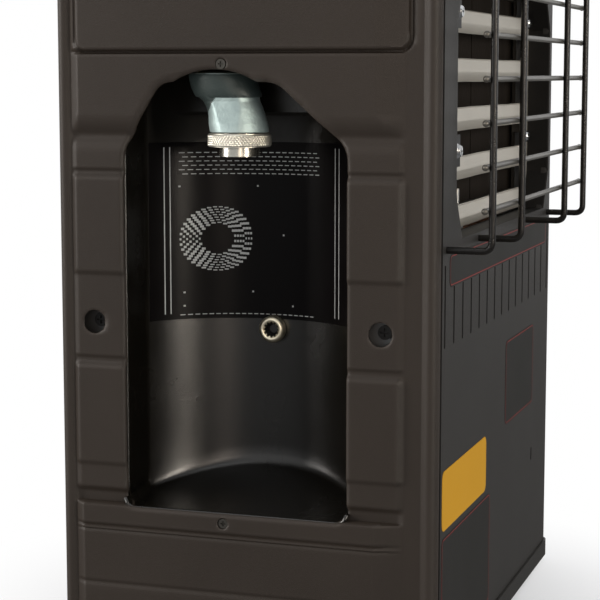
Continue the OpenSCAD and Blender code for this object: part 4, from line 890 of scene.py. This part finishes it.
def wall_mark(s0, s1, z0, z1):
    """Corners of one printed mark on the concave wall, between two depths and two heights."""
    corners = []
    for s, z in ((s0, z0), (s1, z0), (s1, z1), (s0, z1)):
        depth = NICHE_AXIS_IN + math.sqrt(PRINT_R ** 2 - (s - NICHE_MIDDLE) ** 2)
        corners.append((SIDE_X + depth, FRONT_Y + s, BASE_Z + z))
    return corners


def wall_print():
    """Plain pattern on the niche's plate: a frame of fine lines, rows and a ring of dashes, and dots."""
    marks = []
    for s in PRINT_FRAME:
        marks += [wall_mark(s, s + 0.45, z, z + 3.4) for z in np.arange(200.5, 298, 3.4)]
    for row in range(6):
        z = 283.0 + row * 2.5
        marks += [wall_mark(s, s + 2.7, z, z + 0.5) for s in np.arange(88 + 1.6 * (row % 2), 170, 4.1)]
    marks += [wall_mark(s, s + 2.4, 199.4, 199.9) for s in np.arange(92, 168, 3.6)]
    for row in range(7):
        reach = 9.6 + row * 1.55
        count = int(2 * math.pi * reach / 3.1)
        for k in range(count):
            a = 2 * math.pi * (k + 0.5 * (row % 2)) / count
            wide = 1.05 * abs(math.sin(a)) + 0.42 * abs(math.cos(a))
            tall = 0.6 * (1.05 * abs(math.cos(a)) + 0.42 * abs(math.sin(a)))
            s, z = around(PRINT_RING, reach, a)
            marks.append(wall_mark(s - wide, s + wide, z - tall, z + tall))
    for s, z in PRINT_DOTS:
        marks.append(wall_mark(s - 0.5, s + 0.5, z - 0.5, z + 0.5))
    corners = np.array(marks).reshape(-1, 3)
    return mesh_object("wall_print", corners, np.arange(len(corners)).reshape(-1, 4).tolist())


def outline_strip(name, x0, x1, z0, z1, width=0.5):
    """Thin printed frame on the front sheet's labels."""
    rings = []
    for shrink in (0, width):
        left, right, low, high = x0 + shrink, x1 - shrink, z0 + shrink, z1 - shrink
        start = ((x0 + x1) / 2, low)
        corners = [start, (right, low), (right, high), (left, high), (left, low), start]
        line = round_corner(corners, max(3.6 - shrink, 0.5), 6)[:-1]
        rings.append(grid(line[:, 0], FRONT_Y - LABEL_T - 0.05, line[:, 1]))
    return surface(name, rings, close_v=True)


def red_outlines():
    """The thin red frames of the strip and the two plain labels on the front sheet."""
    lo, hi = box_mm("front_label_plate")
    strip = outline_strip("strip_line", lo[0] + 1, hi[0] - 1, lo[2] + 1, hi[2] - 1)
    return joined("red_outlines", [strip, outline_strip("low_line", *LOW_LABEL),
                                   outline_strip("high_line", *HIGH_LABEL)])


# The knob's rounded and dished top: distances in from its rim and down from its top
KNOB_TOP = [(0.8, 3.4), (1.4, 2.0), (2.6, 0.8), (4.4, 0.15), (6.0, 0.1), (9.0, 0.8)]


def knob_cap():
    """Control knob: a cosine scallops its radius all round, its rim is eased in and its top is dished."""
    lo, centre, radius, height = turned_mm("control_knob")
    turn = full_turn(300)[None]
    rows = np.array([(radius - 1.4, 0), (radius - 0.4, 0.8), (radius, 1.8), (radius - 0.3, height * 0.5)]
                    + [(radius - inset, height - down) for inset, down in KNOB_TOP]
                    + [(0.05, height - 1.0)])
    side = rows[:, :1] > radius - 3
    scallop = 1.1 * np.cos(15 * turn) * stripe(rows[:, 1:], 0.5, height - 2.0, 1.2) * side
    r = rows[:, :1] - 0.55 * side + scallop * 0.5
    points = grid(*around(centre, r, turn), lo[2] + rows[:, 1:])
    return finish_mesh(surface("scalloped_knob", points, close_v=True, flip=True), 40)


def pointer_line():
    """Pale line on the knob that points to its setting."""
    lo, (cx, cy, _), _, height = turned_mm("control_knob")
    corners = [(cx - 0.9, cy - 8), (cx - 0.9, cy - 14.6), (cx + 0.9, cy - 14.6), (cx + 0.9, cy - 8)]
    outline = round_corner(corners, 0.8, 5)
    top = lo[2] + height - 0.04
    centre = outline.mean(0)
    rings = [np.c_[outline, np.full(len(outline), z)] for z in (top - 0.8, top)]
    rings.append(np.c_[centre + (outline - centre) * 0.02, np.full(len(outline), top)])
    return finish_mesh(surface("pointer_line", rings, close_v=True, flip=True), 40)


def bolt_place():
    """Where the niche bolt's face is, its centre as (y, z), and its radius, in millimetres."""
    lo, hi = box_mm("niche_bolt")
    return lo[0], (lo[1:] + hi[1:]) / 2, (hi[1] - lo[1]) / 2


def bolt_head():
    """Niche bolt: turned head with a chamfer and a rolled rim, and a socket with twelve small lobes."""
    face, centre, r = bolt_place()
    outer = np.array([(r - 0.4, 5.6), (r - 0.15, 5.0), (r, 4.4), (r, 1.9), (r - 0.5, 0.9), (r - 1.6, 0.15),
                      (r - 2.0, 0.0), (5.4, 0.05), (4.9, 0.3)])
    turn = full_turn(192)[None]
    lobes = 4.35 + 0.35 * np.cos(12 * turn)
    rows_r = np.concatenate([outer[:, :1] + 0 * turn, lobes, lobes, lobes * 0.01])
    rows_x = np.concatenate([outer[:, 1], [0.9, 3.6, 7.8]])[:, None]
    points = grid(face + rows_x, *around(centre, rows_r, turn))
    return finish_mesh(surface("bolt_head", points, close_v=True), 30)


def in_socket_shade(middle):
    """Test for face middles that lie deep inside the niche bolt's socket, which get black paint as painted
    shade.
    """
    face, centre, _ = bolt_place()
    return (np.hypot(*(middle[:, 1:] - centre).T) < SOCKET_SHADE_R) & (middle[:, 0] > face + SOCKET_SHADE_FROM)


def igniter_cap():
    """Igniter button: a short cylinder with a round edge and a dished top."""
    lo, (cx, cy, _), r, h = turned_mm("igniter_button")
    profile = [(0.05, 0), (r - 0.3, 0), (r - 0.05, 0.3), (r - 0.05, h - 1.6), (r - 0.25, h - 0.7),
               (r - 0.8, h - 0.15), (r - 1.5, h - 0.02), (r - 2.6, h - 0.5), (0.05, h - 1.1)]
    return finish_mesh(lathe("igniter_cap", profile, (cx, cy, lo[2])), 50)


def ribbed_grip():
    """Handle grip: a tube whose outside swells and is grooved by rings between two plain ends."""
    lo, hi = box_mm("handle_grip")
    cy, cz = (lo[1] + hi[1]) / 2, (lo[2] + hi[2]) / 2
    r, length = (hi[1] - lo[1]) / 2, hi[0] - lo[0]
    t = np.linspace(0, length, 340)
    end = np.minimum(t, length - t)
    groove = 0.7 * (0.5 + 0.5 * np.cos(t / 5.0 * 2 * np.pi)) * step(end, 12, 16)
    ease = 2.2 * (1 - np.sqrt(1 - np.clip(1 - end / 2.2, 0, 1) ** 2))
    radius = r - 0.02 - groove - ease
    profile = [(bar_r, 0)] + list(zip(radius, t)) + [(bar_r, length)]
    return finish_mesh(lathe("ribbed_grip", profile, (lo[0], cy, cz), "x"), 60)


def handle_wire():
    """Handle bar: arms from the pivots, two bends and the cross bar through the grip."""
    z = (bar_lo[2] + bar_hi[2]) / 2
    y0, y1 = bar_lo[1] + bar_r, bar_hi[1] - bar_r
    x0, x1, arm = bar_lo[0], bar_hi[0], HANDLE_ARM_X
    path = [(x0, y0, z), (-arm, y0, z), (-arm, y1, z), (arm, y1, z), (arm, y0, z), (x1, y0, z)]
    return finish_mesh(sweep("handle_wire", round_corner(path, HANDLE_BEND, 10), bar_r, 24), 60)


def material(name, base, rough, grain, bump, metal=0.0, specular=0.5, coat=0.0, mottle=0.1, mottle_scale=20.0,
             stretch=(1, 1, 1), second=None, edge=0.0):
    """Finish with fine grain as bump, cloudy colour, uneven gloss and, if asked for, paler convex edges as
    painted highlight.
    """
    made, tree, shader = new_material(name)
    put(shader, Metallic=metal, Specular_IOR_Level=specular, Coat_Weight=coat)
    base = srgb(base)
    place = add(tree, "TexCoord")
    spread = add(tree, "Mapping", Scale=stretch)
    wire(place.outputs["Object"], spread.inputs["Vector"])

    dark = [c * (1 - mottle) for c in base]
    pale = srgb(second) if second else [min(1.0, c * (1 + mottle)) for c in base]
    out = blend(tree, noise(tree, spread, mottle_scale, 4), (*dark, 1), (*pale, 1))
    # Painted highlight: the convex edges are lightened, where asked for
    if edge:
        out = painted_edge_highlights(tree, out, base, edge)
    wire(out, shader.inputs["Base Color"])

    gloss = add(tree, "MapRange",
                To_Min=max(0.02, rough - ROUGH_SPREAD), To_Max=min(1.0, rough + ROUGH_SPREAD))
    wire(noise(tree, spread, mottle_scale * 2.3, 3), gloss.inputs["Value"])
    wire(gloss.outputs["Result"], shader.inputs["Roughness"])

    raised = add(tree, "Bump", Strength=bump, Distance=GRAIN_DEPTH)
    wire(noise(tree, spread, grain, 3), raised.inputs["Height"])
    wire(raised.outputs["Normal"], shader.inputs["Normal"])
    return made


def noise(tree, vector, scale, detail):
    """Output of a noise texture on a mapped position."""
    texture = add(tree, "TexNoise", Scale=scale, Detail=detail)
    wire(vector.outputs["Vector"], texture.inputs["Vector"])
    return texture.outputs["Fac"]


def blend(tree, factor, first, last):
    """Output that runs from a first colour to a last one; the first may also be another node's output."""
    mix = tree.nodes.new("ShaderNodeMix")
    mix.data_type = "RGBA"
    if isinstance(first, tuple):
        mix.inputs["A"].default_value = first
    else:
        wire(first, mix.inputs["A"])
    mix.inputs["B"].default_value = last
    wire(factor, mix.inputs["Factor"])
    return mix.outputs["Result"]


def painted_edge_highlights(tree, colour, base, amount):
    """Painted highlight: lightens the colour where the surface turns outwards, by the surface's pointiness.
    """
    geometry = add(tree, "NewGeometry")
    pick = add(tree, "MapRange", From_Min=0.5, From_Max=0.62, To_Max=amount)
    wire(geometry.outputs["Pointiness"], pick.inputs["Value"])
    return blend(tree, pick.outputs["Result"], colour, (*[min(1, c * 2.2 + 0.02) for c in base], 1))


def srgb(values):
    """Linear colour of an sRGB triple given as 0 to 255."""
    v = np.array(values) / 255
    return tuple(np.where(v <= 0.04045, v / 12.92, ((v + 0.055) / 1.055) ** 2.4).tolist())


ROUGH_SPREAD = 0.05
GRAIN_DEPTH = 0.0004

# Rows: base colour as sRGB, roughness, scale and strength of the grain, and what else is set apart; edge sets
# the painted highlight on convex edges
FINISHES = {
    "cover_plastic": ((37, 31, 26), 0.46, 2600, 0.35, dict(specular=0.2, mottle=0.12, mottle_scale=9,
                                                           second=(46, 39, 33), edge=0.5)),
    "liner_plastic": ((9, 7, 4), 0.26, 2200, 0.25, dict(mottle=0.15, mottle_scale=14)),
    "sheet_paint": ((40, 38, 36), 0.46, 1900, 0.3, dict(specular=0.12, mottle_scale=6)),
    "tray_paint": ((36, 34, 31), 0.45, 1900, 0.3, dict(specular=0.15, mottle_scale=8, metal=0.2)),
    "foot_rubber": ((26, 26, 26), 0.8, 900, 0.4, dict(mottle=0.2)),
    "zinc_sheet": ((140, 141, 142), 0.4, 300, 0.1, dict(metal=1.0, mottle=0.2, mottle_scale=60)),
    "plain_steel": ((160, 160, 158), 0.35, 700, 0.15, dict(metal=1.0, stretch=(1, 1, 12))),
    "slat_steel": ((178, 172, 160), 0.42, 900, 0.35, dict(metal=0.7, mottle=0.12, mottle_scale=14,
                                                          stretch=(0.06, 1, 1), second=(190, 184, 172))),
    "reflector_dark": ((14, 13, 12), 0.45, 600, 0.2, dict(specular=0.15, metal=0.1, mottle=0.25,
                                                          mottle_scale=12)),
    "bright_screw": ((200, 202, 204), 0.2, 800, 0.1, dict(metal=1.0)),
    "dull_screw": ((66, 64, 60), 0.4, 900, 0.2, dict(metal=0.8, mottle=0.2)),
    # Black for the real black screws, and painted shade inside the niche bolt's socket
    "black_screw_and_socket_shade": ((26, 25, 24), 0.4, 900, 0.2, dict(metal=0.5, mottle=0.2)),
    "bolt_steel": ((232, 224, 200), 0.36, 500, 0.1, dict(metal=1.0, mottle=0.08)),
    "fired_clay": ((30, 25, 20), 0.9, 260, 0.8, dict(specular=0.05, mottle=0.2, mottle_scale=40)),
    "housing_steel": ((60, 55, 48), 0.5, 500, 0.3, dict(metal=0.4, mottle=0.35, mottle_scale=9)),
    "brass": ((190, 160, 84), 0.3, 600, 0.15, dict(metal=1.0, mottle=0.15)),
    "copper": ((176, 112, 74), 0.32, 600, 0.1, dict(metal=1.0, mottle=0.25, mottle_scale=30)),
    "glazed_lead": ((214, 208, 196), 0.3, 300, 0.05, dict(mottle=0.06)),
    "wire_black": ((18, 16, 14), 0.28, 1200, 0.2, dict(specular=0.25, mottle=0.2, mottle_scale=30)),
    "wire_satin": ((80, 77, 71), 0.36, 1200, 0.2, dict(mottle=0.2, mottle_scale=30, metal=0.5)),
    "cast_zinc": ((132, 150, 150), 0.5, 700, 0.5, dict(metal=0.65, mottle=0.3, mottle_scale=120,
                                                       second=(176, 192, 190))),
    # The cap's own paint, also used as painted shade on the neck's rear under the cap
    "cap_paint_and_shade": ((50, 58, 56), 0.42, 700, 0.4, dict(specular=0.2, metal=0.1, mottle=0.3, mottle_scale=90)),
    "knurled_nickel": ((186, 183, 172), 0.3, 900, 0.1, dict(metal=0.85, mottle=0.06)),
    "turned_zinc": ((186, 184, 174), 0.24, 500, 0.15, dict(metal=1.0, stretch=(1, 1, 14))),
    "cast_alloy": ((156, 156, 152), 0.45, 500, 0.4, dict(metal=0.9, mottle=0.2, mottle_scale=60)),
    "knob_plastic": ((32, 30, 29), 0.42, 1600, 0.3, dict(mottle=0.12, edge=0.4)),
    "button_red": ((160, 38, 24), 0.25, 900, 0.08, dict(mottle=0.08, coat=0.3)),
    "grip_rubber": ((30, 28, 27), 0.6, 1300, 0.4, dict(mottle=0.15)),
    "label_grey": ((36, 35, 33), 0.5, 1500, 0.1, dict(specular=0.06, mottle=0.06, mottle_scale=8)),
    "label_yellow": ((176, 128, 18), 0.5, 1500, 0.08, dict(specular=0.08, mottle=0.05, mottle_scale=8)),
    "print_pale": ((176, 176, 172), 0.4, 2400, 0.05, dict(specular=0.1, mottle=0.25, mottle_scale=60)),
    "print_red": ((120, 34, 30), 0.4, 2400, 0.05, dict(specular=0.1, mottle_scale=60)),
    "film_black": ((9, 7, 7), 0.3, 1500, 0.05, dict(specular=0.08, mottle=0.2)),
}

FINISH_NODES = {
    "tray_paint": "base_tray top_grille", "foot_rubber": "feet",
    "zinc_sheet": "frame_posts chassis_plate mixing_tube",
    "plain_steel": "heat_shield pilot_burner thermocouple valve_stem",
    "cover_plastic": "niche_cover plain_cover top_cover", "liner_plastic": "niche_liner",
    "film_black": "niche_label", "bolt_steel": "niche_bolt",
    "dull_screw": "cover_screws control_bezel rear_screws", "black_screw_and_socket_shade": "rail_screws",
    "sheet_paint": "rear_panel front_panel", "label_grey": "front_label_plate front_labels_grey",
    "label_yellow": "front_label_yellow", "reflector_dark": "reflector_box",
    "slat_steel": "reflector_slats", "bright_screw": "reflector_screws", "fired_clay": "burner_plaques",
    "housing_steel": "burner_housing", "brass": "gas_jet swivel_pin swivel_elbow valve_plug",
    "glazed_lead": "spark_electrode", "wire_black": "guard_uprights handle_bar handle_brackets",
    "wire_satin": "guard_crossbars", "cast_zinc": "regulator_body", "cap_paint_and_shade": "regulator_cap",
    "knurled_nickel": "coupling_ring", "turned_zinc": "cylinder_socket",
    "copper": "inlet_pipe burner_pipe pilot_pipe", "cast_alloy": "gas_valve",
    "knob_plastic": "control_knob igniter_body tip_switch", "button_red": "igniter_button",
    "grip_rubber": "handle_grip",
}
NODE_FINISH = {node: finish for finish, names in FINISH_NODES.items() for node in names.split()}


def dress(obj, finish):
    """Gives an object one finish."""
    obj.data.materials.clear()
    obj.data.materials.append(made_finishes[finish])


def second_finish(obj, finish, chosen):
    """Gives another finish to the faces whose middles, in millimetres, pass a test."""
    obj.data.materials.append(made_finishes[finish])
    centres = np.zeros(len(obj.data.polygons) * 3)
    obj.data.polygons.foreach_get("center", centres)
    picked = chosen(centres.reshape(-1, 3) / MM)
    obj.data.polygons.foreach_set("material_index", picked.astype(np.int32))


def stands_for(obj, body, name):
    """A new piece takes the place, finish and body of a node."""
    dress(obj, NODE_FINISH[name])
    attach(obj, body)
    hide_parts(name)


def added_to(obj, body, finish):
    """A piece beside a node moves with its body and takes a finish."""
    dress(obj, finish)
    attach(obj, body)


photo_camera()
made_finishes = {name: material(name, *first, **others) for name, (*first, others) in FINISHES.items()}
for name, finish in NODE_FINISH.items():
    dress(nodes[name], finish)

near_shapes = [(niche_outline(), RIM_ROUND)]
near_shapes += [(circle_outline(*hole), HOLE_ROUND) for hole in SCREW_WELLS + COVER_SCREWS]
far_shapes = [(circle_outline(*hole), HOLE_ROUND) for hole in SCREW_WELLS]
stands_for(side_cover("side_cover", niche_relief, near_shapes), "heater", "niche_cover")
stands_for(niche_shell(), "heater", "niche_liner")
added_to(niche_block(), "heater", "liner_plastic")
casting, dome = regulator_shape()
stands_for(casting, "regulator", "regulator_body")
# The cap paint also runs down the neck's rear: painted shade under the cap's flare
second_finish(casting, "cap_paint_and_shade", on_cap_and_neck_shade)
stands_for(dome, "regulator", "regulator_cap")
dress(dome, "cast_zinc")
second_finish(dome, "cap_paint_and_shade", on_dome)
stands_for(knurled_ring(), "coupling_ring", "coupling_ring")

uprights, cross = guard_wires()
stands_for(uprights, "heater", "guard_uprights")
stands_for(cross, "heater", "guard_crossbars")
added_to(opening_lip(), "heater", "sheet_paint")
stands_for(bent_slats(), "heater", "reflector_slats")
added_to(finish_mesh(slat_flanges(), 30), "heater", "slat_steel")
stands_for(knob_cap(), "knob", "control_knob")
added_to(pointer_line(), "knob", "knurled_nickel")
bolt = bolt_head()
stands_for(bolt, "heater", "niche_bolt")
# Painted shade: the socket's deep faces are painted black
second_finish(bolt, "black_screw_and_socket_shade", in_socket_shade)
stands_for(igniter_cap(), "igniter_button", "igniter_button")
stands_for(ribbed_grip(), "handle", "handle_grip")
stands_for(handle_wire(), "handle", "handle_bar")
stands_for(moulded_top(), "heater", "top_cover")
added_to(wall_print(), "heater", "print_pale")
added_to(red_outlines(), "heater", "print_red")
stands_for(side_cover("far_cover", plain_relief, far_shapes, far=True), "heater", "plain_cover")

studio()
scene.view_settings.view_transform = "Standard"
